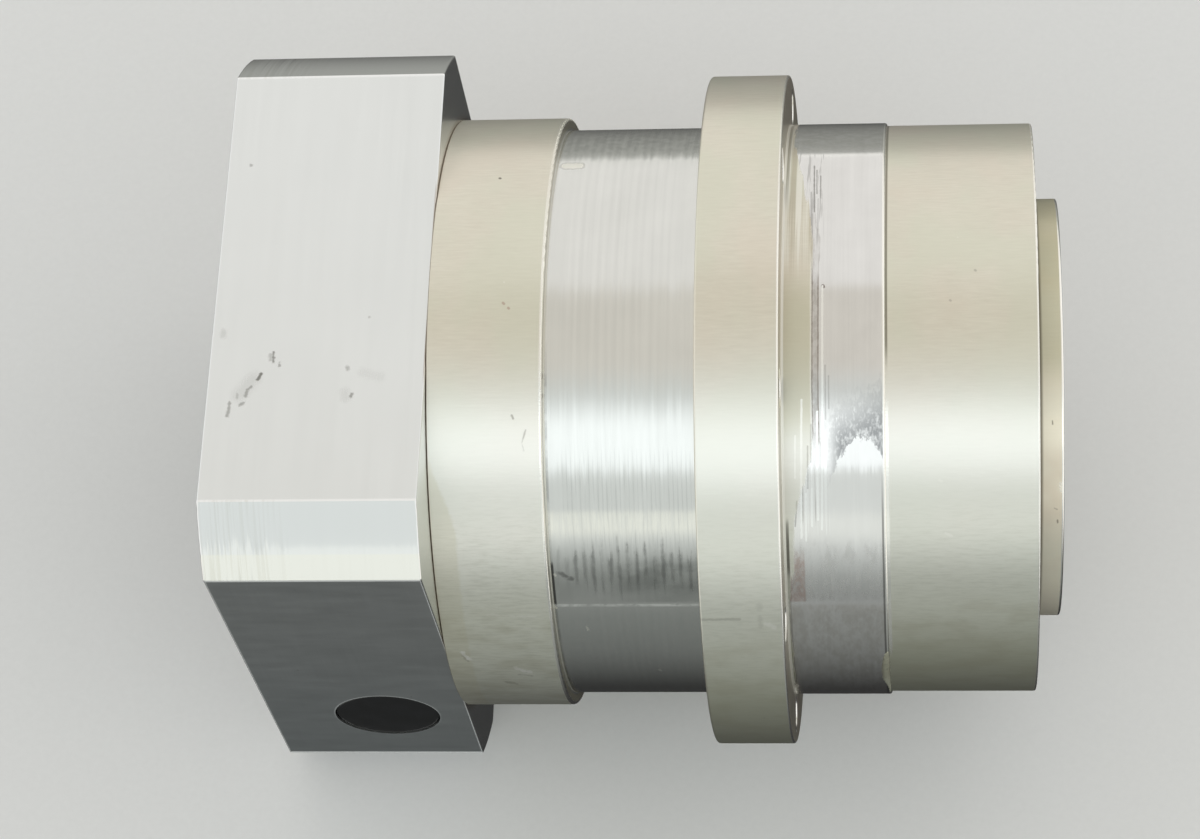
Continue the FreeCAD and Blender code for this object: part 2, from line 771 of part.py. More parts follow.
# ---------------------------------------------------------------- first stage carrier
xa, xb = X_S1_PLATE
carrier1 = tube(9.0 + FIT, 33.0, xa, xb)
carrier1 = carrier1.cut(
    [rod(S1_PIN_R + FIT, xa - 1, xb + 1, y, z) for y, z in around(PLANETS, CENTRE_R, PLANET_A0)]
    + [rod(6.0, xa - 1, xb + 1, y, z) for y, z in around(PLANETS, 23.0, PLANET_A0 + 60)]
)
write("stage1_carrier", carrier1)
ring1 = tube(17.0, 30.0, X_S1_RING[0], X_S1_RING[1])
ring1 = ring1.cut(
    [
        rod(S1_PIN_R + FIT, X_S1_RING[0] - 1, X_S1_RING[1] + 1, y, z)
        for y, z in around(PLANETS, CENTRE_R, PLANET_A0)
    ]
)
write("stage1_carrier_ring", ring1)
write(
    "stage1_planet_pins",
    Part.makeCompound(
        [
            rod(S1_PIN_R, X_S1_RING[0], xb - 0.1, y, z)
            for y, z in around(PLANETS, CENTRE_R, PLANET_A0)
        ]
    ),
)
write(
    "stage1_thrust_washers",
    Part.makeCompound(
        [
            tube(S1_PIN_R + 0.05, 9.5, xa - 0.52, xa - FIT, y, z)
            for y, z in around(PLANETS, CENTRE_R, PLANET_A0)
        ]
    ),
)
sun2 = rod(9.0, xa + 0.2, xb).fuse(external(Z_SUN, 0.0, xb - 0.0, X_S2_SUN_END))
write("stage2_sun_gear", sun2)

# ---------------------------------------------------------------- input shaft
X_LAND = -70.0
X_BORE_END = -62.0
shaft = rev(
    [
        (X_COLLET_REAR, COLLET_BORE_R + 0.6),
        (X_COLLET_REAR, COLLET_R - 0.6),
        (X_COLLET_REAR + 0.6, COLLET_R),
        (X_LAND, COLLET_R),
        (X_LAND + 0.8, SEAL_LAND_R),
        (X_IN_BEARING[0], SEAL_LAND_R),
        (X_IN_BEARING[0], IN_BORE_R - FIT),
        (CLIP_GROOVE[0], IN_BORE_R - FIT),
        (CLIP_GROOVE[0], 16.2),
        (CLIP_GROOVE[1], 16.2),
        (CLIP_GROOVE[1], IN_BORE_R - FIT),
        (X_S1_SUN[0], IN_BORE_R - FIT),
        (X_S1_SUN[0], 0.0),
        (X_BORE_END, 0.0),
        (X_BORE_END, COLLET_BORE_R),
        (X_COLLET_REAR + 0.6, COLLET_BORE_R),
    ]
)
for k in range(2):
    slot = Part.makeBox(
        X_LAND - 1.0 - X_COLLET_REAR + 1.0, 2.0, 60.0, V(X_COLLET_REAR - 1.0, -1.0, -30.0)
    )
    shaft = shaft.cut(turned(slot, 45 + 90 * k))
shaft = shaft.fuse(external(Z_SUN, 0.0, X_S1_SUN[0], X_S1_SUN[1]))
write("input_shaft", shaft)

bush = tube(MOTOR_SHAFT_R, COLLET_BORE_R - FIT, X_COLLET_REAR + 0.5, X_BORE_END - 1.0)
bush = bush.cut(Part.makeBox(60.0, 1.5, 20.0, V(X_COLLET_REAR - 5, -0.75, 0.0)))
write("motor_shaft_bushing", bush)

ring_c = rev(
    [
        (X_CLAMP[0], COLLET_R + FIT),
        (X_CLAMP[0], CLAMP_R - 0.8),
        (X_CLAMP[0] + 0.8, CLAMP_R),
        (X_CLAMP[1] - 0.8, CLAMP_R),
        (X_CLAMP[1], CLAMP_R - 0.8),
        (X_CLAMP[1], COLLET_R + FIT),
    ]
)
Y_HEAD_SEAT = -12.0
SCREW_GAP = 0.06
ydir = V(0, 1, 0)
ring_c = ring_c.cut(
    [
        Part.makeBox(40.0, 3.0, 40.0, V(X_CLAMP[0] - 10, -1.5, -40.0)),
        Part.makeCylinder(4.0 + SCREW_GAP, 60.0, V(ACCESS_X, -30.0, ACCESS_Z), ydir),
        Part.makeCylinder(4.4, 30.0, V(ACCESS_X, -30.0, ACCESS_Z), ydir),
        Part.makeCylinder(7.0, 30.0, V(ACCESS_X, -30.0 + Y_HEAD_SEAT, ACCESS_Z), ydir),
    ]
)
write("clamp_ring", ring_c)

y_seat = Y_HEAD_SEAT - SCREW_GAP
head_h, screw_len = 8.0, 25.0
c = 0.6
pts = [
    V(0, y_seat - head_h, 0),
    V(6.5 - c, y_seat - head_h, 0),
    V(6.5, y_seat - head_h + c, 0),
    V(6.5, y_seat, 0),
    V(4.0, y_seat, 0),
    V(4.0, y_seat + screw_len - 0.8, 0),
    V(3.2, y_seat + screw_len, 0),
    V(0, y_seat + screw_len, 0),
]
clamp = Part.Face(Part.makePolygon(pts + [pts[0]])).revolve(V(0, 0, 0), ydir, 360)
hx = [
    V(6.0 / math.sqrt(3) * math.cos(k * math.pi / 3), y_seat - head_h - 1, 6.0 / math.sqrt(3) * math.sin(k * math.pi / 3))
    for k in range(7)
]
clamp = clamp.cut(Part.Face(Part.makePolygon(hx)).extrude(V(0, 5.0, 0)))
clamp.translate(V(ACCESS_X, 0, ACCESS_Z))
write("clamp_screw", clamp)

# ---------------------------------------------------------------- input bearing
xm = (X_IN_BEARING[0] + X_IN_BEARING[1]) / 2.0
b0, b1 = X_IN_BEARING[0] + FIT, X_IN_BEARING[1] - FIT
groove = Part.makeTorus(BALL_PITCH_R, BALL_R + 0.12, V(xm, 0, 0), AX)


def race(ri, ro):
    c = 0.4
    return rev(
        [
            (b0, ri + c), (b0, ro - c), (b0 + c, ro), (b1 - c, ro),
            (b1, ro - c), (b1, ri + c), (b1 - c, ri), (b0 + c, ri),
        ]
    ).cut(groove)


write("input_bearing_inner_ring", race(IN_BORE_R, 20.6))
write("input_bearing_outer_ring", race(24.4, IN_OUTER_R - FIT))
write(
    "input_bearing_balls",
    Part.makeCompound(
        [Part.makeSphere(BALL_R, V(xm, y, z)) for y, z in around(BALLS, BALL_PITCH_R)]
    ),
)
cage = tube(21.7, 23.3, xm - 4.0, xm + 4.0)
cage = cage.cut(
    [Part.makeSphere(BALL_R + 0.15, V(xm, y, z)) for y, z in around(BALLS, BALL_PITCH_R)]
)
write("input_bearing_cage", cage)


def clip(ri, ro, gap, a):
    ring_s = tube(ri, ro, CLIP_GROOVE[0] + 0.05, CLIP_GROOVE[1] - 0.05)
    wedge = Part.makeBox(10.0, 40.0, gap, V(CLIP_GROOVE[0] - 4, 0.0, -gap / 2))
    return ring_s.cut(turned(wedge, a))


write("bearing_circlip", clip(25.2, IN_OUTER_R + 1.15, 7.0, 90))
write("shaft_circlip", clip(16.2 + FIT, 19.5, 5.0, 270))
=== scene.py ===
import bpy
import bmesh
import json
import math
from mathutils import Matrix, Vector


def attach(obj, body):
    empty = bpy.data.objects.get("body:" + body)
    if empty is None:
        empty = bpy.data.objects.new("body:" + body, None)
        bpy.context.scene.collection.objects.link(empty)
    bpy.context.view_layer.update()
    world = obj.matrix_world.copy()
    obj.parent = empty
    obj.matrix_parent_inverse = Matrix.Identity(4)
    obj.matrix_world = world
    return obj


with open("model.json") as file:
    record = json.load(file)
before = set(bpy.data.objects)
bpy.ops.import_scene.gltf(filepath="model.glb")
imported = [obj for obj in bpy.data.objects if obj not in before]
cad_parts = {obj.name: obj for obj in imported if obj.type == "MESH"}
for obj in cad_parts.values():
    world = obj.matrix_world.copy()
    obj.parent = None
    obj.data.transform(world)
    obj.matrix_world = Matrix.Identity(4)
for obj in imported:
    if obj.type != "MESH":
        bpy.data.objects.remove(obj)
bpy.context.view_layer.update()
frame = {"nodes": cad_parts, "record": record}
nodes = frame["nodes"]
scene = bpy.context.scene
MM = 0.001


# ---------------------------------------------------------------- node helpers

def lin(r, g, b):
    """A colour given as screen levels 0-255, as linear RGBA."""
    def f(c):
        c /= 255.0
        return c / 12.92 if c <= 0.04045 else ((c + 0.055) / 1.055) ** 2.4
    return (f(r), f(g), f(b), 1.0)


def grey(v):
    return (v, v, v, 1.0)


class Net:
    """Short calls for building a node tree. Every call returns an output socket."""

    def __init__(self, tree):
        self.t = tree
        tree.nodes.clear()

    def new(self, kind, **props):
        n = self.t.nodes.new(kind)
        for k, v in props.items():
            setattr(n, k, v)
        return n

    def put(self, socket, value):
        if isinstance(value, bpy.types.NodeSocket):
            self.t.links.new(value, socket)
        else:
            socket.default_value = value

    def math(self, op, a, b=None, c=None, clamp=False):
        n = self.new("ShaderNodeMath", operation=op, use_clamp=clamp)
        self.put(n.inputs[0], a)
        if b is not None:
            self.put(n.inputs[1], b)
        if c is not None:
            self.put(n.inputs[2], c)
        return n.outputs[0]

    def add(self, a, b):
        return self.math("ADD", a, b)

    def sub(self, a, b):
        return self.math("SUBTRACT", a, b)

    def mul(self, a, b):
        return self.math("MULTIPLY", a, b)

    def inv(self, a):
        return self.math("SUBTRACT", 1.0, a)

    def most(self, *v):
        out = v[0]
        for w in v[1:]:
            out = self.math("MAXIMUM", out, w)
        return out

    def absv(self, a):
        return self.math("ABSOLUTE", a)

    def vmath(self, op, a, b=None, scale=None):
        n = self.new("ShaderNodeVectorMath", operation=op)
        self.put(n.inputs[0], a)
        if b is not None:
            self.put(n.inputs[1], b)
        if scale is not None:
            self.put(n.inputs["Scale"], scale)
        return n.outputs["Value"] if op in ("DOT_PRODUCT", "LENGTH", "DISTANCE") else n.outputs[0]

    def vec(self, x, y=0.0, z=0.0):
        n = self.new("ShaderNodeCombineXYZ")
        for s, v in zip(n.inputs, (x, y, z)):
            self.put(s, v)
        return n.outputs[0]

    def parts(self, v):
        n = self.new("ShaderNodeSeparateXYZ")
        self.put(n.inputs[0], v)
        return n.outputs[0], n.outputs[1], n.outputs[2]

    def step(self, v, a, b, lo=0.0, hi=1.0):
        """Smooth change from lo to hi as v goes from a to b."""
        n = self.new("ShaderNodeMapRange", interpolation_type="SMOOTHSTEP", clamp=True)
        for s, w in zip(n.inputs, (v, a, b, lo, hi)):
            self.put(s, w)
        return n.outputs[0]

    def span(self, v, a, b, soft=1.0, soft2=None):
        """1 between a and b, falling to 0 over soft outside them."""
        s2 = soft if soft2 is None else soft2
        return self.mul(self.step(v, a - soft, a), self.step(v, b, b + s2, 1.0, 0.0))

    def mixf(self, f, a, b):
        n = self.new("ShaderNodeMix", data_type="FLOAT")
        self.put(n.inputs[0], f)
        self.put(n.inputs[2], a)
        self.put(n.inputs[3], b)
        return n.outputs[0]

    def mixc(self, f, a, b, blend="MIX"):
        n = self.new("ShaderNodeMix", data_type="RGBA", blend_type=blend)
        self.put(n.inputs[0], f)
        self.put(n.inputs[6], a)
        self.put(n.inputs[7], b)
        return n.outputs[2]

    def noise(self, vec, scale=1.0, detail=2.0, rough=0.5, dims="3D", warp=0.0):
        n = self.new("ShaderNodeTexNoise", noise_dimensions=dims)
        self.put(n.inputs["Vector"], vec)
        self.put(n.inputs["Scale"], scale)
        self.put(n.inputs["Detail"], detail)
        self.put(n.inputs["Roughness"], rough)
        self.put(n.inputs["Distortion"], warp)
        return n.outputs[0]

    def spots(self, vec, scale, size, soft, share):
        """Scattered dots: about share of the cells of the grid hold one."""
        n = self.new("ShaderNodeTexVoronoi", voronoi_dimensions="3D", feature="F1")
        self.put(n.inputs["Vector"], vec)
        self.put(n.inputs["Scale"], scale)
        dot = self.step(n.outputs["Distance"], size, size + soft, 1.0, 0.0)
        pick, _, _ = self.parts(n.outputs["Color"])
        return self.mul(dot, self.math("LESS_THAN", pick, share))

    def bump(self, height, strength, dist, normal=None):
        n = self.new("ShaderNodeBump")
        self.put(n.inputs["Strength"], strength)
        self.put(n.inputs["Distance"], dist)
        self.put(n.inputs["Height"], height)
        if normal is not None:
            self.put(n.inputs["Normal"], normal)
        return n.outputs[0]


class Mat(Net):
    """A material with the piece's own coordinates in mm and one surface shader."""

    def __init__(self, name):
        self.m = bpy.data.materials.new(name)
        self.m.use_nodes = True
        super().__init__(self.m.node_tree)
        out = self.new("ShaderNodeOutputMaterial")
        self.b = self.new("ShaderNodeBsdfPrincipled")
        self.t.links.new(self.b.outputs[0], out.inputs[0])
        tc = self.new("ShaderNodeTexCoord")
        obj = tc.outputs["Object"]
        self.p = self.vmath("SCALE", obj, scale=1000.0)
        self.nx, self.ny, self.nz = self.parts(tc.outputs["Normal"])
        # x0 to a0 feed the noise. x to a are the same numbers for everything else: the renderer
        # works them out after the noise, so that few values wait for each other in a large material.
        self.x0, self.y0, self.z0 = self.parts(self.p)
        self.r0, self.a0 = self.polar(self.y0, self.z0)
        later = self.new("ShaderNodeMapping", vector_type="POINT")
        self.put(later.inputs["Vector"], self.vmath("SCALE", obj, scale=500.0))
        self.put(later.inputs["Scale"], (2.0, 2.0, 2.0))
        self.x, self.y, self.z = self.parts(later.outputs[0])
        self.r, self.a = self.polar(self.y, self.z)

    def polar(self, y, z):
        """Distance from the X axis, and degrees round it: 0 = +Y, 90 = up, 180 = -Y, break at the bottom."""
        r = self.math("SQRT", self.add(self.mul(y, y), self.mul(z, z)))
        turn = self.math("ARCTAN2", self.mul(y, -1.0), z)
        return r, self.math("MULTIPLY_ADD", turn, 180.0 / math.pi, 90.0)

    def arc(self, radius):
        """Length along the rim in mm, for a surface of that radius."""
        return self.mul(self.a, math.pi / 180.0 * radius)

    def arc0(self, radius):
        """The same for noise."""
        return self.mul(self.a0, math.pi / 180.0 * radius)

    def stroke(self, uv, p0, p1, width, soft, rough=None, amount=0.0):
        """A line from p0 to p1 in the flat coordinates uv."""
        (u0, v0), (u1, v1) = p0, p1
        d = (u1 - u0, v1 - v0, 0.0)
        l2 = max(d[0] ** 2 + d[1] ** 2, 1e-9)
        rel = self.vmath("SUBTRACT", uv, (u0, v0, 0.0))
        t = self.math("MULTIPLY", self.vmath("DOT_PRODUCT", rel, d), 1.0 / l2, clamp=True)
        near = self.vmath("SCALE", d, scale=t)
        dist = self.vmath("LENGTH", self.vmath("SUBTRACT", rel, near))
        if rough is not None:
            dist = self.math("MULTIPLY_ADD", rough, amount, dist)
        return self.step(dist, width, width + soft, 1.0, 0.0)

    def finish(self, color=None, metallic=None, rough=None, normal=None, **fixed):
        for name, value in (("Base Color", color), ("Metallic", metallic), ("Roughness", rough), ("Normal", normal)):
            if value is not None:
                self.put(self.b.inputs[name], value)
        for name, value in fixed.items():
            self.b.inputs[name.replace("_", " ")].default_value = value
        return self.m


# ---------------------------------------------------------------- materials

def turned_lines(m, u, v, fine=5.0, broad=0.6):
    """Tool lines across u that run along v: values round 0.5."""
    a = m.noise(m.vec(m.mul(u, fine), m.mul(v, 0.03), 0.0), 1.0, 3.0, 0.65)
    b = m.noise(m.vec(m.mul(u, broad), m.mul(v, 0.02), 7.0), 1.0, 2.0, 0.5)
    return a, b


def lean(m, amount):
    """Surface normal leaned round the X axis by amount (small, radians)."""
    geo = m.new("ShaderNodeNewGeometry")
    side = m.vmath("NORMALIZE", m.vec(0.0, m.mul(m.z, -1.0), m.y))
    return m.vmath("NORMALIZE", m.vmath("ADD", geo.outputs["Normal"], m.vmath("SCALE", side, scale=amount)))


def mat_plate():
    m = Mat("adapter_plate_metal")
    end = m.step(m.absv(m.nx), 0.6, 0.8)
    top = m.step(m.nz, 0.9, 0.97)
    side = m.step(m.absv(m.ny), 0.9, 0.97)
    corner = m.step(m.r, 69.6, 69.85)
    u = m.mixf(end, m.x0, m.r0)
    v = m.mixf(end, m.add(m.y0, m.z0), m.a0)
    fine, broad = turned_lines(m, u, v, 4.0, 0.35)
    cloud = m.noise(m.p, 0.06, 3.0, 0.5)
    # the sides carry faint rubbed streaks along the plate and a cloudy film
    film = m.noise(m.vec(m.mul(m.x0, 0.10), m.mul(m.y0, 0.3), m.mul(m.z0, 0.40)), 1.0, 4.0, 0.55)
    tone = m.add(m.mul(m.sub(fine, 0.5), 0.12), m.add(m.mul(m.sub(broad, 0.5), 0.14), m.mul(m.sub(cloud, 0.5), 0.12)))
    tone = m.add(tone, m.mul(m.mul(m.sub(film, 0.5), side), 0.60))
    base = m.mixc(m.math("ADD", 0.55, tone, clamp=True), lin(210, 212, 211), lin(252, 254, 253))
    base = m.mixc(m.mul(corner, 0.7), base, lin(254, 254, 253))
    # streaks in the corner facets, strongest by the rear edge
    near_rear = m.step(m.x, -84.0, -97.0)
    comb = m.noise(m.vec(m.mul(m.x0, 1.3), m.mul(m.a0, 0.03), 14.0), 1.0, 3.0, 0.6)
    streak = m.mul(m.mul(corner, m.math("MULTIPLY_ADD", near_rear, 0.9, 0.1)), m.mul(m.step(comb, 0.46, 0.60), m.step(m.a, 134.0, 138.5, 0.35, 1.0)))
    base = m.mixc(m.mul(streak, 0.35), base, lin(196, 194, 180))
    # painted reflection: the lower part of the near corner facets lighter and warmer
    facet_reflection = m.mul(corner, m.span(m.a, 137.2, 150.0, 0.4))
    base = m.mixc(m.mul(facet_reflection, 0.4), base, lin(255, 252, 238))
    # painted shade: the sides turn a little darker and bluer towards the bottom
    base = m.mixc(m.mul(side, m.step(m.z, 34.0, -44.0, 0.05, 0.45)), base, lin(194, 203, 207))
    # scuffs on the top face
    uv = m.vec(m.x, m.y, 0.0)
    rag = m.sub(m.noise(m.p, 1.6, 3.0, 0.6), 0.5)
    marks = None
    for p0, p1, w, soft, level in (
        ((-91.42, -14.24), (-91.26, -16.27), 0.06, 0.32, 0.75),
        ((-90.13, -16.40), (-90.10, -17.00), 0.05, 0.32, 0.55),
        ((-91.90, -14.80), (-91.80, -15.80), 0.05, 0.55, 0.35),
        ((-93.31, -18.76), (-93.86, -19.76), 0.12, 0.38, 0.90),
        ((-95.00, -21.20), (-95.60, -21.85), 0.06, 0.38, 0.60),
        ((-95.67, -22.25), (-95.75, -23.10), 0.10, 0.42, 0.60),
        ((-96.10, -24.45), (-96.75, -24.75), 0.06, 0.40, 0.55),
        ((-97.30, -22.60), (-97.30, -23.30), 0.04, 0.45, 0.40),
        ((-98.58, -24.42), (-98.78, -27.00), 0.08, 0.42, 0.55),
        ((-94.60, -19.60), (-97.00, -22.80), 0.10, 2.20, 0.15),
        ((-77.66, -17.50), (-77.60, -17.80), 0.10, 0.50, 0.42),
        ((-76.55, -22.90), (-76.60, -23.40), 0.10, 0.40, 0.65),
        ((-77.80, -22.40), (-77.60, -23.60), 0.10, 1.40, 0.12),
        ((-74.90, -18.50), (-71.60, -19.50), 0.10, 1.50, 0.08),
        ((-100.95, -10.0), (-100.90, -10.8), 0.12, 0.80, 0.18),
        ((-98.75, 24.80), (-98.75, 24.90), 0.08, 0.30, 0.42),
    ):
        k = m.mul(m.stroke(uv, p0, p1, w, soft, rag, 0.9), level)
        marks = k if marks is None else m.most(marks, k)
    dark = m.mul(marks, top)
    base = m.mixc(m.mul(dark, 0.85), base, lin(104, 102, 94))
    # dust and pits here and there
    dots = m.spots(m.p, 0.16, 0.030, 0.03, 0.20)
    base = m.mixc(m.mul(dots, 0.25), base, lin(150, 145, 138))
    # painted reflection of the next ring's paint: a thin brownish tint on the front face where it meets that ring
    ring_reflection = m.mul(m.span(m.x, -63.75, -63.0, 0.2), m.step(m.r, 58.6, 57.2))
    base = m.mixc(m.mul(ring_reflection, 0.40), base, lin(150, 122, 88))
    rough = m.add(0.25, m.add(m.mul(m.sub(fine, 0.5), 0.08), m.mul(dark, 0.25)))
    rough = m.add(m.sub(rough, m.mul(corner, 0.15)), m.mul(side, m.math("MULTIPLY_ADD", m.sub(film, 0.5), 0.1, 0.06)))
    # edges of the sides rubbed dull and pale, and a painted highlight round the edge of the hole in the near side,
    # strongest on its upper rim
    d = m.vmath("LENGTH", m.vec(m.add(m.x, 79.8), m.add(m.z, 23.0), 0.0))
    ring = m.mul(m.mul(m.step(m.ny, -0.9, -0.97), m.span(d, 10.2, 10.42, 0.1, 0.20)), m.step(m.z, -26.0, -18.0, 0.10, 0.45))
    rubbed_and_glint = m.mul(side, m.most(m.step(m.absv(m.z), 43.0, 43.5), m.step(m.x, -64.0, -63.75), m.step(m.x, -102.5, -102.75), ring))
    rough = m.mixf(m.mul(rubbed_and_glint, 0.85), rough, 0.9)
    base = m.mixc(m.mul(rubbed_and_glint, 0.8), base, lin(255, 255, 253))
    tilt = m.noise(m.vec(m.mul(m.x0, 1.7), m.mul(m.a0, 0.02), 4.0), 1.0, 3.0, 0.6)
    amount = m.mul(m.mul(m.sub(tilt, 0.5), m.math("MULTIPLY_ADD", near_rear, 0.16, 0.02)), corner)
    n = m.bump(fine, 0.10, 0.00004, lean(m, amount))
    n = m.bump(dark, 0.25, 0.00005, n)
    return m.finish(base, None, rough, n, Metallic=1.0)


def paint_grain(m):
    grain = m.noise(m.p, 2.2, 3.0, 0.6)
    cloud = m.noise(m.p, 0.07, 3.0, 0.5)
    return grain, cloud


def paint_brush(m):
    """Fine short marks that run along the axis."""
    return m.noise(m.vec(m.mul(m.x0, 0.28), m.mul(m.a0, 2.2), 12.0), 1.0, 3.0, 0.6)


def fold(m):
    """Angle for the broad fades: runs back under the part, so that nothing jumps there."""
    return m.math("MINIMUM", m.a, m.math("MULTIPLY_ADD", m.a, -4.806, 1207.7))


def rounded(m):
    """1 on the round faces, 0 on the end faces."""
    return m.step(m.absv(m.nx), 0.8, 0.6)


def paint_color(m, grain, cloud, light, dark, near_side_light=0.0):
    rub_and_sheen = m.noise(m.vec(m.mul(m.x0, 0.12), m.mul(m.a0, 0.9), 2.0), 1.0, 3.0, 0.6)
    hue = m.noise(m.vec(m.mul(m.x0, 0.055), m.mul(m.a0, 0.04), 17.0), 1.0, 3.0, 0.5)
    low_side = m.mul(m.step(fold(m), 125.0, 150.0), rounded(m))
    t = m.add(m.mul(m.sub(grain, 0.5), 0.16), m.mul(m.sub(cloud, 0.5), 0.6))
    t = m.add(t, m.mul(m.sub(rub_and_sheen, 0.5), m.math("MULTIPLY_ADD", low_side, 0.55, 0.35)))
    t = m.add(t, m.mul(m.sub(paint_brush(m), 0.5), m.math("MULTIPLY_ADD", low_side, 1.6, 1.2)))
    c = m.mixc(m.math("ADD", t, 0.5, clamp=True), dark, light)
    # the coat is a little greener in some places and pinker in others
    c = m.mixc(m.mul(m.step(hue, 0.44, 0.62), 0.45), c, lin(221, 223, 204))
    c = m.mixc(m.mul(m.step(hue, 0.46, 0.32), 0.35), c, lin(231, 219, 204))
    if near_side_light:
        # painted light: the near side painted lighter and more silvery, then greener lower down, partly the coat's own
        # hue and partly the light falling there
        c = m.mixc(m.mul(m.mul(m.step(fold(m), 98.0, 124.0), rounded(m)), 0.62 * near_side_light), c, lin(249, 249, 244))
        c = m.mixc(m.mul(m.mul(m.step(fold(m), 138.0, 160.0), rounded(m)), 0.60 * near_side_light), c, lin(225, 226, 207))
        wavy = m.noise(m.vec(m.mul(m.x0, 0.30), m.mul(m.a0, 1.7), 19.0), 1.0, 4.0, 0.65)
        c = m.mixc(m.mul(low_side, m.step(wavy, 0.42, 0.70, 0.0, 0.26)), c, lin(182, 182, 164))
        c = m.mixc(m.mul(low_side, m.step(wavy, 0.44, 0.24, 0.0, 0.30)), c, lin(252, 252, 240))
    return c


PAINT_LIGHT = lin(234, 229, 214)
PAINT_DARK = lin(219, 213, 197)
PAINT_METAL = 0.78
WORN = lin(255, 253, 246)


def mat_input_housing():
    m = Mat("painted_ring")
    s, s0 = m.arc(57.0), m.arc0(57.0)
    uv = m.vec(m.x, s, 0.0)
    rag = m.sub(m.noise(m.p, 0.9, 3.0, 0.6), 0.5)
    grain, cloud = paint_grain(m)
    fine, broad = turned_lines(m, m.x0, s0, 3.0, 0.7)
    base = paint_color(m, grain, cloud, PAINT_LIGHT, PAINT_DARK, 1.0)
    outside = m.mul(m.step(m.r, 54.9, 55.2), m.span(m.x, -63.48, -42.55, 0.1))

    def at(x, a):
        return (x, math.radians(a) * 57.0)

    # painted reflection of the plate's corner: a dull yellowish patch on the paint beside the plate
    edge = m.math("MULTIPLY_ADD", rag, 0.9, m.step(fold(m), 121.0, 140.0, -63.6, -58.9))
    rub_and_sheen = m.mul(m.step(m.sub(m.x, edge), 0.4, -0.4), m.step(fold(m), 120.0, 130.0))
    base = m.mixc(m.mul(rub_and_sheen, 0.35), base, lin(218, 212, 186))
    dark = m.most(
        m.stroke(uv, at(-52.3, 66.9), at(-52.2, 67.0), 0.14, 0.22),
        m.mul(m.stroke(uv, at(-47.9, 116.8), at(-47.7, 117.3), 0.06, 0.25, rag, 0.5), 0.6),
        m.mul(m.stroke(uv, at(-45.5, 119.4), at(-46.2, 121.6), 0.02, 0.22, rag, 0.5), 0.45),
        m.mul(m.stroke(uv, at(-46.2, 121.8), at(-45.9, 123.1), 0.02, 0.20, rag, 0.5), 0.25),
        m.mul(m.stroke(uv, at(-53.4, 179.0), at(-51.6, 180.0), 0.10, 0.6, rag, 1.6), 0.5),
        m.mul(m.stroke(uv, at(-42.75, 109.3), at(-42.75, 109.9), 0.10, 0.2), 0.9),
        m.mul(m.stroke(uv, at(-42.75, 112.9), at(-42.75, 113.4), 0.10, 0.2), 0.9),
        m.mul(m.stroke(uv, at(-60.4, 168.6), at(-59.6, 170.6), 0.05, 0.35, rag, 1.2), 0.35),
        m.mul(m.stroke(uv, at(-50.6, 175.6), at(-48.4, 176.2), 0.05, 0.40, rag, 1.2), 0.30),
    )
    red = m.most(
        m.stroke(uv, at(-49.8, 96.0), at(-49.6, 96.2), 0.10, 0.25),
        m.stroke(uv, at(-48.8, 97.0), at(-48.7, 97.1), 0.10, 0.25),
    )
    chips = m.most(
        m.stroke(uv, at(-60.2, 167.6), at(-59.4, 169.6), 0.15, 0.45, rag, 2.6),
        m.stroke(uv, at(-51.0, 173.0), at(-48.6, 174.8), 0.20, 0.55, rag, 2.6),
        m.mul(m.stroke(uv, at(-54.6, 156.6), at(-45.8, 157.3), 0.03, 0.35, rag, 1.2), 0.40),
        m.mul(m.stroke(uv, at(-50.6, 159.8), at(-46.8, 160.3), 0.03, 0.30, rag, 1.2), 0.30),
        m.mul(m.spots(m.p, 0.22, 0.03, 0.03, 0.05), 0.4),
    )
    base = m.mixc(m.mul(dark, 0.75), base, lin(96, 84, 74))
    base = m.mixc(m.mul(red, 0.45), base, lin(160, 106, 88))
    base = m.mixc(m.mul(chips, 0.85), base, lin(252, 250, 242))
    # grime film low on the near side, and brownish painted shade in the joint to the plate
    film = m.noise(m.vec(m.mul(m.x0, 0.10), m.mul(s0, 0.22), 6.0), 1.0, 3.0, 0.55)
    grime = m.mul(m.span(m.a, 160.0, 230.0, 8.0), m.step(film, 0.42, 0.66))
    base = m.mixc(m.mul(grime, 0.25), base, lin(172, 166, 136))
    joint_shade = m.span(m.x, -64.0, -63.38, 0.06)
    base = m.mixc(m.mul(joint_shade, m.math("MULTIPLY_ADD", broad, 0.5, 0.4)), base, lin(96, 76, 52))
    # worn bright front edge, painted brighter on the near side as a highlight; painted shade on the front face
    worn = m.mul(m.span(m.x, -43.1, -42.62, 0.06), m.step(m.r, 56.3, 56.5))
    worn = m.mul(worn, m.math("MULTIPLY_ADD", m.step(fold(m), 60.0, 112.0), 0.6, 0.4))
    face = m.mul(m.mul(m.step(m.nx, 0.9, 0.97), m.step(m.r, 54.9, 55.1)), m.step(m.r, 56.75, 56.6))
    base = m.mixc(m.mul(face, 0.5), base, lin(128, 120, 102))
    base = m.mixc(worn, base, WORN)
    inner = m.inv(outside)
    steel = m.mixc(fine, lin(188, 188, 186), lin(232, 231, 228))
    base = m.mixc(inner, base, steel)
    metallic = m.mixf(m.most(inner, worn), PAINT_METAL, 1.0)
    rough = m.add(0.30, m.add(m.mul(m.sub(grain, 0.5), 0.06), m.mul(dark, 0.2)))
    rough = m.sub(rough, m.mul(worn, 0.12))
    n = m.bump(paint_brush(m), 0.30, 0.00005)
    n = m.bump(m.sub(chips, dark), 0.3, 0.00005, n)
    return m.finish(base, metallic, rough, n)


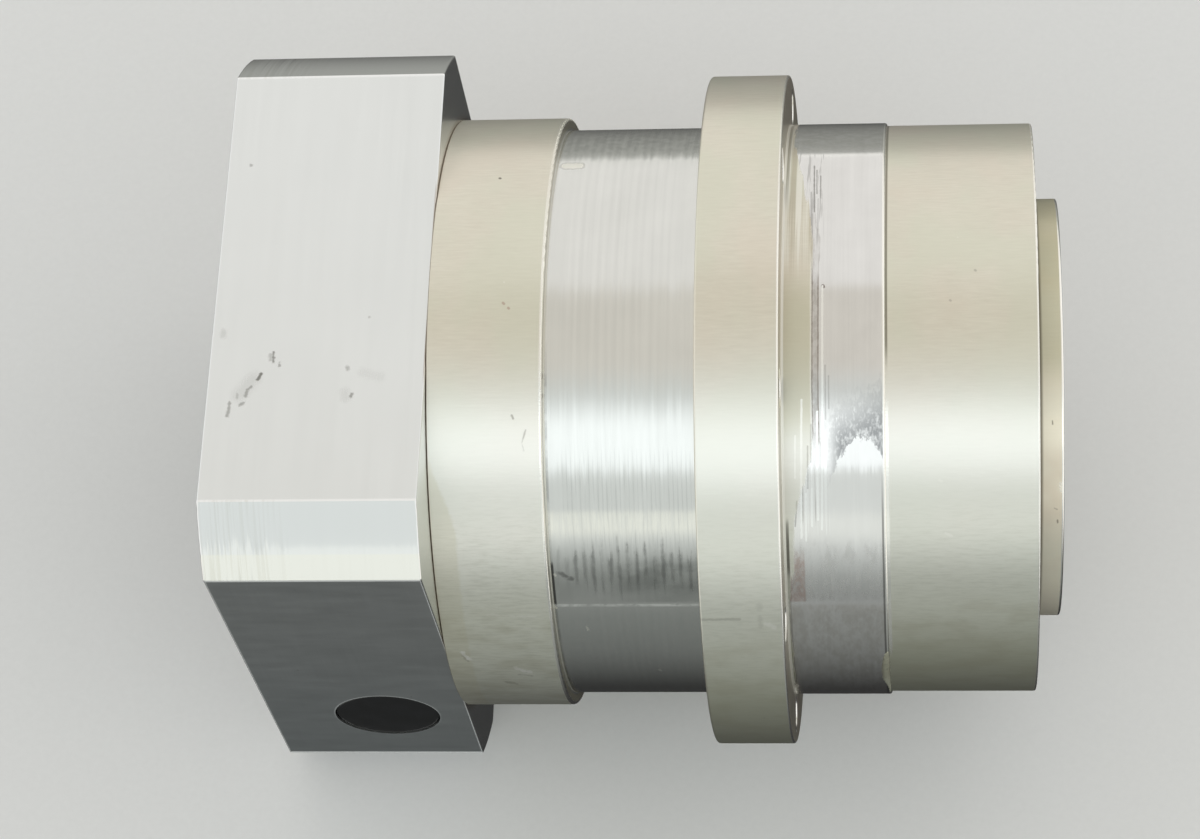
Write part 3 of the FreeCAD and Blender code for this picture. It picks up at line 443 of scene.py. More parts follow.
def mat_ring_gear():
    m = Mat("turned_band")
    s, s0 = m.arc(54.65), m.arc0(54.65)
    uv = m.vec(m.x, s, 0.0)
    rag = m.sub(m.noise(m.p, 0.9, 3.0, 0.6), 0.5)
    fine, broad = turned_lines(m, m.x0, s0, 3.0, 0.55)
    # feed lines of the turning tool, darkest at every 1.592 mm
    ruled = m.math("COSINE", m.mul(m.add(m.x, 36.2), 2.0 * math.pi / 1.592))
    cloud = m.noise(m.p, 0.10, 3.0, 0.55)
    middle = m.span(m.x, -36.0, -23.0, 4.0)
    t = m.add(m.mul(m.sub(fine, 0.5), m.math("MULTIPLY_ADD", middle, 0.12, 0.16)), m.mul(ruled, m.math("MULTIPLY_ADD", middle, -0.035, -0.006)))
    t = m.add(t, m.add(m.mul(m.sub(broad, 0.5), 0.22), m.mul(m.sub(cloud, 0.5), 0.30)))
    base = m.mixc(m.math("ADD", 0.5, t, clamp=True), lin(208, 208, 204), lin(246, 246, 242))
    outside = m.mul(m.step(m.r, 54.2, 54.5), m.step(m.absv(m.nx), 0.8, 0.6))

    def at(x, a):
        return (x, math.radians(a) * 54.65)

    # grey mottled darkening over the top, in combed streaks
    smear = m.noise(m.vec(m.mul(m.x0, 0.5), m.mul(s0, 0.40), 3.0), 1.0, 4.0, 0.6)
    combed = m.math("MULTIPLY_ADD", ruled, 0.07, m.math("MULTIPLY_ADD", m.sub(fine, 0.5), 0.5, smear))
    top = m.mul(m.mul(m.step(fold(m), 58.5, 52.0), m.step(combed, 0.36, 0.66)), m.step(fold(m), 10.0, 34.0, 0.10, 1.0))
    # dull film low on the near side with dark drag marks in it
    dull = m.math("MULTIPLY_ADD", m.step(fold(m), 164.0, 172.0), -0.20, m.step(fold(m), 138.0, 150.0))
    dash = m.noise(m.vec(m.mul(m.x0, 1.5), m.mul(s0, 0.12), 11.0), 1.0, 4.0, 0.65)
    patch = m.noise(m.vec(m.mul(m.x0, 0.16), m.mul(s0, 0.22), 23.0), 1.0, 3.0, 0.55)
    breaks = m.noise(m.vec(m.mul(m.x0, 0.8), m.mul(s0, 0.8), 29.0), 1.0, 4.0, 0.65)
    each = m.noise(m.vec(m.mul(m.x0, 0.63), m.mul(s0, 0.16), 37.0), 1.0, 3.0, 0.6)
    streaky = m.math("MULTIPLY_ADD", ruled, 0.15, m.math("MULTIPLY_ADD", each, 0.8, m.mul(breaks, 0.25)))
    own = m.noise(m.vec(m.mul(m.x0, 0.9), m.mul(s0, 0.05), 53.0), 1.0, 2.0, 0.5)
    place = m.math("MULTIPLY_ADD", m.sub(own, 0.5), 16.0, m.math("MULTIPLY_ADD", m.sub(breaks, 0.5), 4.0, m.a))
    low = m.mul(m.span(place, 144.8, 150.5, 2.6, 3.0), m.step(streaky, 0.42, 0.84))
    low = m.mul(low, m.math("MULTIPLY_ADD", m.span(m.x, -37.0, -16.5, 3.0, 1.0), 0.6, 0.4))
    film = m.mul(m.span(m.a, 147.0, 155.6, 3.0, 0.4), m.math("MULTIPLY_ADD", m.step(m.x, -33.0, -22.0), 0.7, m.mul(m.step(patch, 0.40, 0.62), 0.3)))
    half_pitch = m.math("COSINE", m.mul(m.add(m.x, 36.2), 4.0 * math.pi / 1.592))
    hair = m.mul(m.span(m.a, 126.0, 141.0, 4.0, 4.0), m.mul(m.step(half_pitch, 0.2, 0.9), m.step(dash, 0.34, 0.60)))
    hair = m.mul(hair, m.span(m.x, -38.0, -17.0, 3.0, 2.0))
    mottle = m.mul(m.step(fold(m), 155.0, 160.0), m.step(m.math("MULTIPLY_ADD", dash, 0.5, m.mul(breaks, 0.5)), 0.38, 0.62))
    # painted highlights: pale and glow are thin bright lines along the band at fixed angles round the axis
    pale = m.mul(m.span(m.a, 136.2, 138.6, 1.6, 3.0), m.math("MULTIPLY_ADD", m.step(dash, 0.62, 0.40), 0.5, 0.5))
    glow = m.mul(m.span(m.a, 156.4, 156.8, 0.25, 0.3), m.math("MULTIPLY_ADD", m.mul(m.step(patch, 0.36, 0.56), m.step(breaks, 0.30, 0.55)), 0.85, 0.12))
    light = m.most(
        m.mul(m.stroke(uv, at(-40.8, 59.4), at(-38.5, 59.3), 0.75, 0.35, rag, 0.8), 0.85),
        m.mul(m.stroke(uv, at(-36.9, 162.6), at(-36.7, 163.6), 0.05, 0.3, rag, 1.0), 0.7),
        m.mul(m.stroke(uv, at(-24.6, 178.8), at(-24.4, 179.2), 0.08, 0.3), 0.6),
        m.mul(m.stroke(uv, at(-42.3, 157.0), at(-42.1, 157.3), 0.15, 0.2), 1.0),
        m.mul(m.stroke(uv, at(-41.8, 148.9), at(-41.7, 149.2), 0.10, 0.25), 0.7),
        # the painted lip at the joint, made brighter on the near side as painted highlight
        m.mul(m.span(m.x, -42.7, -42.40, 0.06), m.math("MULTIPLY_ADD", m.step(fold(m), 60.0, 110.0), 0.45, 0.5)),
    )
    outline = m.sub(m.stroke(uv, at(-40.8, 59.4), at(-38.5, 59.3), 1.15, 0.3, rag, 0.8), m.stroke(uv, at(-40.8, 59.4), at(-38.5, 59.3), 0.80, 0.3, rag, 0.8))
    # painted shade: the gap by the input housing painted black low on the near side and faint elsewhere, and the joint
    # to the flange darkened; one soot mark with them
    gap_shade = m.mul(m.span(m.x, -42.36, -41.95, 0.08), m.most(m.mul(m.span(m.a, 147.0, 156.0, 1.5), 1.0), m.mul(m.span(m.a, 108.0, 192.0, 6.0), m.math("MULTIPLY_ADD", m.step(patch, 0.42, 0.60), 0.22, 0.14))))
    soot_and_shade = m.most(
        m.mul(m.stroke(uv, at(-40.6, 148.6), at(-38.4, 150.0), 0.03, 0.6, rag, 2.6), 0.55),
        m.mul(gap_shade, 0.9),
        m.mul(m.span(m.x, -15.25, -14.8, 0.15), 0.5),
    )
    base = m.mixc(m.mul(top, 0.34), base, lin(124, 127, 122))
    base = m.mixc(m.mul(dull, 0.50), base, lin(172, 174, 168))
    base = m.mixc(m.mul(mottle, 0.24), base, lin(188, 192, 188))
    base = m.mixc(m.mul(film, 0.26), base, lin(118, 124, 118))
    base = m.mixc(m.mul(low, 0.50), base, lin(66, 68, 66))
    base = m.mixc(m.mul(hair, 0.13), base, lin(120, 124, 122))
    smear = m.mul(m.span(m.a, 147.5, 152.0, 2.2, 2.2), m.mul(m.span(m.x, -28.0, -15.6, 4.0, 0.5), m.step(patch, 0.34, 0.60)))
    base = m.mixc(m.mul(smear, 0.20), base, lin(70, 73, 70))
    # painted highlight line
    base = m.mixc(m.mul(pale, 0.55), base, lin(255, 253, 242))
    base = m.mixc(m.mul(m.mul(soot_and_shade, outside), 0.9), base, lin(40, 38, 36))
    # painted highlight line
    base = m.mixc(m.mul(glow, 0.85), base, lin(255, 255, 250))
    base = m.mixc(m.mul(light, 0.8), base, lin(250, 248, 236))
    base = m.mixc(m.mul(outline, 0.35), base, lin(160, 158, 146))
    rough = m.add(0.17, m.add(m.mul(m.sub(fine, 0.5), 0.06), m.add(m.mul(low, 0.12), m.add(m.mul(top, 0.08), m.mul(light, 0.15)))))
    rough = m.add(rough, m.mul(m.step(fold(m), 140.0, 150.0), 0.05))
    tilt = m.noise(m.vec(m.mul(m.x0, 1.6), m.mul(s0, 0.03), 5.0), 1.0, 3.0, 0.6)
    amount = m.mul(m.mul(m.sub(tilt, 0.5), 0.08), m.mul(outside, m.step(fold(m), 156.0, 146.0, 0.25, 1.0)))
    n = m.bump(m.math("MULTIPLY_ADD", ruled, -0.05, fine), 0.10, 0.00004, lean(m, amount))
    return m.finish(base, None, rough, n, Metallic=1.0)


def mat_output_housing():
    m = Mat("painted_flange_and_nose")
    s, s0 = m.arc(55.0), m.arc0(55.0)
    uv = m.vec(m.x, s, 0.0)
    rag = m.sub(m.noise(m.p, 0.9, 3.0, 0.6), 0.5)
    grain, cloud = paint_grain(m)
    paint = paint_color(m, grain, cloud, PAINT_LIGHT, PAINT_DARK, 1.0)
    # painted light and shade: the coat lighter and cooler on the near side, darker and greener low down, partly its
    # own hue
    paint = m.mixc(m.mul(rounded(m), m.step(fold(m), 126.0, 134.0, 0.0, 0.32)), paint, lin(224, 225, 212))
    paint = m.mixc(m.mul(rounded(m), m.step(fold(m), 154.0, 176.0, 0.0, 0.55)), paint, lin(172, 172, 144))

    def at(x, a):
        return (x, math.radians(a) * 55.0)

    # ---- painted faces: marks
    dark = m.most(
        m.mul(m.stroke(uv, at(-14.6, 151.7), at(-7.8, 151.6), 0.05, 0.32, rag, 0.6), 0.30),
        m.mul(m.stroke(uv, at(-4.2, 148.9), at(-4.1, 149.7), 0.10, 0.7, rag, 1.2), 0.14),
        m.mul(m.stroke(uv, at(-4.2, 151.2), at(-4.1, 153.2), 0.08, 0.6, rag, 1.2), 0.16),
        m.mul(m.stroke(uv, at(34.6, 89.3), at(34.7, 89.4), 0.10, 0.25), 0.4),
        m.mul(m.stroke(uv, at(30.1, 95.5), at(30.2, 95.6), 0.08, 0.25), 0.35),
        m.mul(m.spots(m.p, 0.20, 0.022, 0.02, 0.06), 0.35),
    )
    pale = m.most(
        m.mul(m.stroke(uv, at(28.0, 129.7), at(28.3, 129.9), 0.08, 0.35, rag, 0.8), 0.6),
        m.mul(m.stroke(uv, at(29.0, 140.4), at(30.0, 140.9), 0.05, 0.35, rag, 0.9), 0.6),
        m.mul(m.stroke(uv, at(-3.2, 152.5), at(-1.7, 153.3), 0.12, 0.45, rag, 1.2), 0.70),
        m.mul(m.spots(m.vmath("ADD", m.p, (31.0, 7.0, 3.0)), 0.24, 0.028, 0.03, 0.05), 0.4),
    )
    paint = m.mixc(m.mul(dark, 0.8), paint, lin(98, 90, 80))
    paint = m.mixc(m.mul(pale, 0.7), paint, lin(250, 248, 240))
    film = m.noise(m.vec(m.mul(m.x0, 0.10), m.mul(s0, 0.22), 6.0), 1.0, 3.0, 0.55)
    grime = m.mul(m.span(m.a, 160.0, 230.0, 8.0), m.step(film, 0.42, 0.66))
    paint = m.mixc(m.mul(grime, 0.20), paint, lin(172, 166, 138))

    # ---- bare centring band
    fine, broad = turned_lines(m, m.x0, s0, 3.6, 0.6)
    cloudy = m.noise(m.p, 0.14, 3.0, 0.6)
    t = m.add(m.mul(m.sub(fine, 0.5), 0.24), m.add(m.mul(m.sub(broad, 0.5), 0.3), m.mul(m.sub(cloudy, 0.5), 0.35)))
    metal = m.mixc(m.math("ADD", 0.5, t, clamp=True), lin(210, 208, 205), lin(250, 249, 247))
    mottle = m.noise(m.vec(m.mul(m.x0, 0.9), m.mul(s0, 0.45), 2.0), 1.0, 5.0, 0.7)
    speckle = m.noise(m.vec(m.mul(m.x0, 1.5), m.mul(s0, 0.8), 8.0), 1.0, 4.0, 0.65)
    drag = m.noise(m.vec(m.mul(m.x0, 1.7), m.mul(s0, 0.06), 19.0), 1.0, 3.0, 0.6)
    blot = m.noise(m.vec(m.mul(m.x0, 0.55), m.mul(s0, 0.16), 43.0), 1.0, 4.0, 0.6)
    line = m.noise(m.vec(m.mul(m.x0, 1.5), m.mul(s0, 0.022), 31.0), 1.0, 3.0, 0.55)
    smear = m.noise(m.vec(m.mul(m.x0, 0.35), m.mul(s0, 0.5), 3.0), 1.0, 4.0, 0.65)
    top = m.mul(m.step(fold(m), 56.0, 54.9), m.mul(m.math("MULTIPLY_ADD", m.step(smear, 0.38, 0.62), 0.6, 0.15), m.step(m.a, 8.0, 30.0, 0.25, 1.0)))
    low = m.mul(m.span(m.a, 145.0, 154.0, 5.0, 2.0), m.step(m.math("MULTIPLY_ADD", mottle, 0.4, m.mul(blot, 0.6)), 0.44, 0.60))
    # dull smudge beside the nose: its lower edge is an arch
    rise = m.sub(m.x, 14.2)
    arch = m.math("MULTIPLY_ADD", m.mul(rise, rise), 0.26, 121.4)
    below = m.math("MULTIPLY_ADD", m.sub(mottle, 0.5), 7.0, m.sub(m.a, arch))
    crown = m.math("MULTIPLY_ADD", m.sub(speckle, 0.5), 16.0, m.sub(m.a, m.math("MULTIPLY_ADD", m.x, -0.55, 120.5)))
    smudge = m.mul(m.mul(m.step(below, 0.5, -0.6), m.step(crown, -1.0, 7.0)), m.step(m.math("MULTIPLY_ADD", m.sub(speckle, 0.5), 4.0, m.x), 7.8, 10.4))
    smudge = m.mul(smudge, m.math("MULTIPLY_ADD", m.step(speckle, 0.38, 0.70), -0.70, 1.0))
    long_mark = None
    for x0, a0, x1, a1, w, level in (
        (5.50, 61.5, 5.78, 75.5, 0.04, 0.85), (6.00, 63.0, 6.15, 70.5, 0.03, 0.65), (6.73, 65.0, 6.86, 71.8, 0.04, 0.75),
        (5.10, 70.0, 5.30, 79.0, 0.03, 0.55), (6.40, 72.0, 6.50, 80.0, 0.05, 0.30), (4.60, 58.0, 4.70, 63.0, 0.04, 0.45),
        (5.45, 76.0, 5.52, 92.0, 0.03, 0.50), (4.68, 123.0, 4.58, 131.0, 0.05, 0.75), (5.31, 119.0, 5.25, 126.0, 0.06, 0.60),
        (2.60, 133.5, 2.20, 138.5, 0.04, 0.60), (7.90, 108.0, 7.95, 118.0, 0.03, 0.40), (8.5, 110.0, 8.5, 116.0, 0.03, 0.35),
    ):
        k = m.mul(m.stroke(uv, at(x0, a0), at(x1, a1), w, 0.17, rag, 0.18), level)
        long_mark = k if long_mark is None else m.most(long_mark, k)
    scored = m.mul(m.mul(m.span(m.a, 57.5, 80.0, 2.0, 8.0), m.span(m.x, 2.6, 7.0, 0.8)), m.mul(m.step(drag, 0.52, 0.62), 0.45))
    scored = m.most(scored, long_mark)
    brown = m.mul(m.mul(m.span(m.a, 146.5, 155.2, 4.0, 0.6), m.span(m.x, 0.6, 3.5, 0.3)), m.math("MULTIPLY_ADD", m.step(mottle, 0.38, 0.58), 0.5, 0.4))
    metal = m.mixc(m.mul(top, 0.42), metal, lin(150, 153, 138))
    metal = m.mixc(m.mul(low, 0.26), metal, lin(112, 108, 104))
    # painted highlight: the bare band lighter on the near side
    metal = m.mixc(m.span(m.a, 128.0, 150.0, 1.0, 6.0), metal, m.mixc(0.35, metal, lin(255, 254, 250)))
    metal = m.mixc(m.mul(smudge, 0.82), metal, lin(128, 129, 130))
    metal = m.mixc(m.mul(scored, 0.75), metal, lin(96, 94, 88))
    metal = m.mixc(m.mul(brown, 0.55), metal, lin(188, 152, 138))
    stale = m.mul(m.step(fold(m), 155.6, 157.0), m.math("MULTIPLY_ADD", m.step(m.math("MULTIPLY_ADD", mottle, 0.5, m.mul(blot, 0.5)), 0.40, 0.60), 0.7, 0.3))
    metal = m.mixc(m.mul(stale, 0.35), metal, lin(172, 164, 148))
    dot = m.stroke(uv, at(7.5, 92.5), at(7.55, 92.7), 0.20, 0.20)
    metal = m.mixc(m.mul(dot, 0.9), metal, lin(84, 54, 40))

    # ---- paint mist that runs a few mm on to the bare band, with a ragged edge
    reach = m.mixf(m.step(fold(m), 48.0, 84.0), 1.6, 5.45)
    reach = m.mixf(m.step(fold(m), 122.0, 138.5), reach, 2.1)
    reach = m.mixf(m.step(fold(m), 140.0, 158.0), reach, 0.7)
    upper = m.step(fold(m), 92.0, 80.0)
    lower = m.step(fold(m), 118.0, 126.0)
    ragged = m.math("MULTIPLY_ADD", upper, 3.2, m.math("MULTIPLY_ADD", lower, 2.6, 0.35))
    torn = m.noise(m.vec(m.mul(m.x0, 1.1), m.mul(s0, 0.09), 9.0), 1.0, 4.0, 0.65)
    lip = m.math("MULTIPLY_ADD", m.sub(torn, 0.5), ragged, m.sub(m.x, reach))
    mist = m.step(lip, 0.12, -0.18)
    inner = m.math("MULTIPLY_ADD", m.span(m.a, 78.0, 121.0, 5.0, 3.0), 0.4, m.mul(m.span(m.a, 92.0, 121.0, 3.0), 0.6))
    shade = m.span(lip, 0.05, 1.30, 0.10, 0.12)
    rims = m.most(m.span(lip, 0.05, 0.22, 0.08), m.span(lip, 1.12, 1.28, 0.08))
    shadow = m.mul(m.mul(shade, inner), m.math("MULTIPLY_ADD", rims, 0.45, m.math("MULTIPLY_ADD", m.step(mottle, 0.40, 0.62), 0.25, 0.25)))
    metal = m.mixc(m.mul(shadow, 0.80), metal, lin(124, 112, 100))
    # scratches painted bright as glints; glint adds more on the tool lines where they cross the bright band
    shine = None
    for x0, a0, x1, a1, w in (
        (3.69, 114.4, 3.26, 140.9, 0.12), (6.42, 116.6, 6.29, 137.2, 0.14), (7.42, 92.5, 7.40, 118.0, 0.13),
        (7.40, 118.0, 6.96, 139.2, 0.12), (2.47, 121.0, 2.35, 129.0, 0.06), (4.2, 132.0, 4.1, 141.5, 0.10), (5.3, 131.0, 5.2, 138.5, 0.10),
    ):
        k = m.stroke(uv, at(x0, a0), at(x1, a1), w, 0.12, rag, 0.25)
        shine = k if shine is None else m.most(shine, k)
    lip_line = m.mul(m.mul(m.span(lip, -0.22, -0.06, 0.08), m.step(fold(m), 80.0, 90.0)), 0.5)
    glint = m.mul(m.span(m.x, 2.6, 8.2, 0.4), m.mul(m.span(m.a, 124.0, 139.0, 5.0, 2.0), m.step(line, 0.54, 0.62)))
    glint = m.most(m.mul(glint, 0.6), shine)
    groove = m.mul(m.span(m.x, 2.6, 8.2, 0.4), m.mul(m.span(m.a, 119.0, 136.0, 5.0, 3.0), m.step(line, 0.45, 0.38)))
    metal = m.mixc(m.mul(groove, 0.40), metal, lin(124, 120, 112))
    metal = m.mixc(m.mul(glint, 0.9), metal, lin(255, 255, 252))
    bright = m.mul(m.step(line, 0.53, 0.60), m.span(m.a, 40.0, 80.0, 6.0, 14.0))
    tan = m.mul(m.step(line, 0.48, 0.40), m.span(m.a, 40.0, 80.0, 6.0, 14.0))
    mist_color = m.mixc(m.mul(m.mul(m.step(fold(m), 84.0, 96.0), m.step(fold(m), 124.0, 116.0)), 0.45), paint, lin(204, 199, 172))
    mist_color = m.mixc(m.mul(bright, 0.6), mist_color, lin(252, 250, 240))
    mist_color = m.mixc(m.mul(tan, 0.40), mist_color, lin(178, 166, 138))
    mist_color = m.mixc(m.mul(m.most(shine, lip_line), 0.9), mist_color, lin(255, 253, 246))
    mist_color = m.mixc(m.mul(long_mark, 0.5), mist_color, lin(120, 112, 96))
    # foot of the band: a bright line, then painted shade in the corner, strongest low on the near side and weaker over
    # the top
    foot = m.span(m.x, 0.05, 0.42, 0.08)
    foot_shade = m.mul(m.span(m.x, 0.55, 0.95, 0.12), m.math("MULTIPLY_ADD", m.span(m.a, 138.5, 147.0, 2.0, 4.0), 0.65, m.mul(m.step(fold(m), 137.0, 142.0), 0.35)))
    foot_shade = m.most(foot_shade, m.mul(m.span(m.x, 0.5, 0.9, 0.15), m.mul(m.step(fold(m), 78.0, 62.0), 0.5)))
    band = m.mul(m.span(m.x, 0.03, 18.02, 0.06), m.span(m.r, 54.7, 56.0, 0.08))
    inside = m.step(m.r, 50.0, 49.8)
    lip_bare = m.mul(m.span(m.x, 18.05, 18.52, 0.05), m.step(m.r, 54.4, 54.5))
    bare = m.most(m.mul(band, m.inv(mist)), inside)
    covered = m.mixc(m.mul(band, mist), paint, mist_color)
    # painted shade in the step beside the lip, and on the shadowed front faces
    step_line = m.mul(m.span(m.x, 18.55, 18.86, 0.04, 0.15), m.step(fold(m), 110.0, 103.0, 0.0, 0.70))
    covered = m.mixc(step_line, covered, lin(96, 90, 74))
    front = m.mul(m.step(m.nx, 0.9, 0.97), m.mul(m.step(m.r, 55.1, 55.4), m.step(m.r, 64.2, 64.0)))
    covered = m.mixc(m.mul(front, 0.45), covered, lin(132, 118, 98))
    # screw holes in the flange: rims painted bright as bare metal and as painted highlight, painted shade inside
    turn = m.math("SUBTRACT", m.math("FLOORED_MODULO", m.a, 45.0), 22.5)
    c = m.math("COSINE", m.mul(turn, math.pi / 180.0))
    d2 = m.add(m.sub(m.mul(m.r, m.r), m.mul(m.mul(m.r, c), 2.0 * 59.0)), 59.0 * 59.0)
    hole = m.math("SQRT", m.most(d2, 0.0))
    in_flange = m.mul(m.span(m.x, -15.5, 0.2, 0.1), m.step(hole, 3.8, 3.7))
    rim = m.mul(in_flange, m.mul(m.step(m.x, -0.34, -0.20), m.step(hole, 3.62, 3.52)))
    bore_shade = m.mul(in_flange, m.mul(m.step(m.x, -0.20, -0.34), m.step(hole, 3.42, 3.36)))
    covered = m.mixc(bore_shade, covered, lin(34, 32, 30))
    # bright worn edges; the flange's front edge painted brighter on the near side as a highlight
    worn = m.mul(m.span(m.x, -0.34, -0.04, 0.05), m.step(m.r, 63.95, 64.05))
    worn = m.mul(worn, m.math("MULTIPLY_ADD", m.step(fold(m), 62.0, 112.0), 0.35, 0.6))
    nose_edge = m.mul(m.span(m.x, 45.46, 45.78, 0.05), m.step(m.r, 53.9, 54.0))
    # on the near side the rubbed line of the lip runs on to the nose
    lip_near = m.mul(m.mul(m.span(m.x, 18.05, 18.95, 0.05, 0.12), m.step(m.r, 53.9, 54.0)), m.span(m.a, 118.0, 168.0, 5.0, 6.0))
    worn = m.most(worn, lip_bare, rim, m.mul(nose_edge, 0.75), m.mul(lip_near, 0.9))
    color = m.mixc(bare, covered, metal)
    color = m.mixc(inside, color, m.mixc(fine, lin(196, 196, 194), lin(238, 237, 234)))
    color = m.mixc(m.mul(band, m.mul(foot, 0.85)), color, WORN)
    color = m.mixc(m.mul(band, m.mul(foot_shade, 0.8)), color, lin(70, 64, 54))
    # painted shade: a dark line at the end of the bare band, low on the near side, standing in for a groove's shadow
    lip_shade = m.mul(m.mul(band, m.span(m.x, 17.72, 17.98, 0.12)), m.mul(m.step(fold(m), 126.0, 140.0), 0.60))
    color = m.mixc(lip_shade, color, lin(62, 58, 50))
    color = m.mixc(worn, color, WORN)
    metallic = m.mixf(m.most(bare, worn), PAINT_METAL, 1.0)
    rough_paint = m.add(0.30, m.mul(m.sub(grain, 0.5), 0.06))
    rough_metal = m.add(m.step(fold(m), 127.0, 142.0, 0.11, 0.20), m.add(m.mul(m.sub(fine, 0.5), 0.06), m.mul(m.most(smudge, low, top), 0.14)))
    rough = m.sub(m.mixf(bare, rough_paint, rough_metal), m.mul(worn, 0.10))
    tilt = m.noise(m.vec(m.mul(m.x0, 1.8), m.mul(s0, 0.03), 5.0), 1.0, 3.0, 0.6)
    amount = m.mul(m.mul(m.sub(tilt, 0.5), m.step(fold(m), 90.0, 130.0, 0.012, 0.05)), m.mul(band, bare))
    turned = m.span(m.x, 0.03, 18.0, 0.06)
    n = m.bump(m.mixf(turned, m.mul(paint_brush(m), 3.6), m.noise(m.vec(m.mul(m.x0, 3.6), m.mul(s0, 0.03), 0.0), 1.0, 3.0, 0.65)), 0.08, 0.00005, lean(m, amount))
    return m.finish(color, metallic, rough, n)


def mat_output_flange():
    m = Mat("output_disc_coat")
    grain, cloud = paint_grain(m)
    coat = paint_color(m, grain, cloud, lin(242, 234, 208), lin(228, 218, 188))
    # painted light and shade: the disc's coat darker olive in patches over the top and far side, lighter on the near
    # side
    shade_patches = m.noise(m.vec(m.mul(m.x0, 0.02), m.mul(m.y0, 0.018), m.mul(m.z0, 0.018)), 1.0, 2.0, 0.5)
    coat = m.mixc(m.mul(m.mul(m.mul(m.step(fold(m), 122.0, 60.0), rounded(m)), m.step(shade_patches, 0.1, 0.6)), 0.75), coat, lin(186, 182, 148))
    coat = m.mixc(m.mul(m.mul(m.step(fold(m), 112.0, 140.0), rounded(m)), 0.75), coat, lin(255, 248, 228))
    coat = m.mixc(m.mul(m.mul(m.span(m.a, 112.0, 150.0, 10.0, 8.0), rounded(m)), 0.65), coat, lin(255, 245, 224))
    s, s0 = m.arc(40.0), m.arc0(40.0)
    uv = m.vec(m.x, s, 0.0)
    rag = m.sub(m.noise(m.p, 1.2, 3.0, 0.6), 0.5)

    def at(x, a):
        return (x, math.radians(a) * 40.0)

    dark = m.most(
        m.mul(m.stroke(uv, at(48.32, 119.8), at(48.36, 120.6), 0.04, 0.22, rag, 0.4), 0.9),
        m.mul(m.stroke(uv, at(48.7, 143.6), at(49.2, 143.9), 0.03, 0.18, rag, 0.4), 0.6),
        m.mul(m.stroke(uv, at(49.27, 147.2), at(49.3, 148.0), 0.03, 0.20, rag, 0.4), 0.8),
        m.mul(m.spots(m.p, 0.24, 0.020, 0.02, 0.08), 0.5),
    )
    coat = m.mixc(m.mul(dark, 0.8), coat, lin(92, 74, 52))
    pink = m.mul(m.span(m.a, 134.0, 158.0, 10.0), m.step(cloud, 0.35, 0.65))
    coat = m.mixc(m.mul(pink, 0.45), coat, lin(226, 202, 178))
    face = m.step(m.nx, 0.7, 0.9)
    rings = m.noise(m.vec(m.mul(m.r0, 3.2), m.mul(m.a0, 0.01), 1.0), 1.0, 3.0, 0.6)
    coat = m.mixc(m.mul(face, m.mul(m.step(rings, 0.5, 0.7), 0.25)), coat, lin(198, 188, 158))
    outer = m.mul(m.step(m.x, 35.8, 36.2), m.step(m.r, 20.4, 20.7))
    fine, broad = turned_lines(m, m.mixf(m.step(m.absv(m.nx), 0.6, 0.8), m.x0, m.r0), m.a0, 3.6, 0.6)
    steel = m.mixc(m.math("MULTIPLY_ADD", m.sub(fine, 0.5), 0.7, 0.5, clamp=True), lin(176, 176, 175), lin(228, 227, 225))
    color = m.mixc(outer, steel, coat)
    worn = m.mul(m.span(m.x, 50.08, 50.47, 0.05), m.step(m.r, 39.45, 39.55))
    chip = m.stroke(uv, at(49.9, 136.6), at(49.9, 138.6), 0.15, 0.3, rag, 0.8)
    worn = m.most(worn, m.mul(outer, m.mul(chip, 0.4)))
    color = m.mixc(worn, color, WORN)
    shade = m.mul(m.span(m.x, 44.0, 46.35, 0.1, 0.5), 0.75)
    color = m.mixc(m.mul(outer, shade), color, lin(96, 86, 66))
    metallic = m.mixf(m.mul(outer, m.inv(worn)), 1.0, 0.50)
    rough = m.mixf(outer, m.add(0.22, m.mul(m.sub(fine, 0.5), 0.1)), m.add(0.32, m.mul(m.sub(grain, 0.5), 0.10)))
    rough = m.sub(rough, m.mul(worn, 0.14))
    n = m.bump(m.mixf(outer, fine, m.mul(grain, 0.5)), 0.08, 0.00005)
    return m.finish(color, metallic, rough, n)


def mat_plug():
    m = Mat("plug_plastic")
    grain = m.noise(m.p, 5.0, 3.0, 0.6)
    cloud = m.noise(m.p, 0.3, 2.0, 0.5)
    base = m.mixc(m.step(cloud, 0.3, 0.7), lin(9, 9, 10), lin(19, 19, 21))
    dust = m.spots(m.p, 0.5, 0.03, 0.03, 0.10)
    base = m.mixc(m.mul(dust, 0.25), base, lin(120, 118, 112))
    # painted highlight: the rim painted grey on its upper side
    d = m.vmath("LENGTH", m.vec(m.sub(m.x, -79.8), m.sub(m.z, -23.0), 0.0))
    rub_and_sheen = m.mul(m.span(d, 9.45, 9.95, 0.15), m.step(m.nz, 0.15, 0.5))
    base = m.mixc(m.mul(rub_and_sheen, 0.7), base, lin(150, 150, 146))
    rough = m.add(0.36, m.mul(m.sub(grain, 0.5), 0.20))
    return m.finish(base, None, rough, m.bump(grain, 0.12, 0.00006))


def mat_rubber(name, a, b):
    m = Mat(name)
    grain = m.noise(m.p, 4.0, 3.0, 0.6)
    rings = m.noise(m.vec(m.mul(m.r0, 2.2), m.mul(m.a0, 0.01), m.mul(m.x0, 2.2)), 1.0, 2.0, 0.5)
    base = m.mixc(m.step(m.math("MULTIPLY_ADD", grain, 0.4, m.mul(rings, 0.6)), 0.3, 0.7), a, b)
    rough = m.add(0.52, m.mul(m.sub(grain, 0.5), 0.3))
    return m.finish(base, None, rough, m.bump(grain, 0.2, 0.00005))


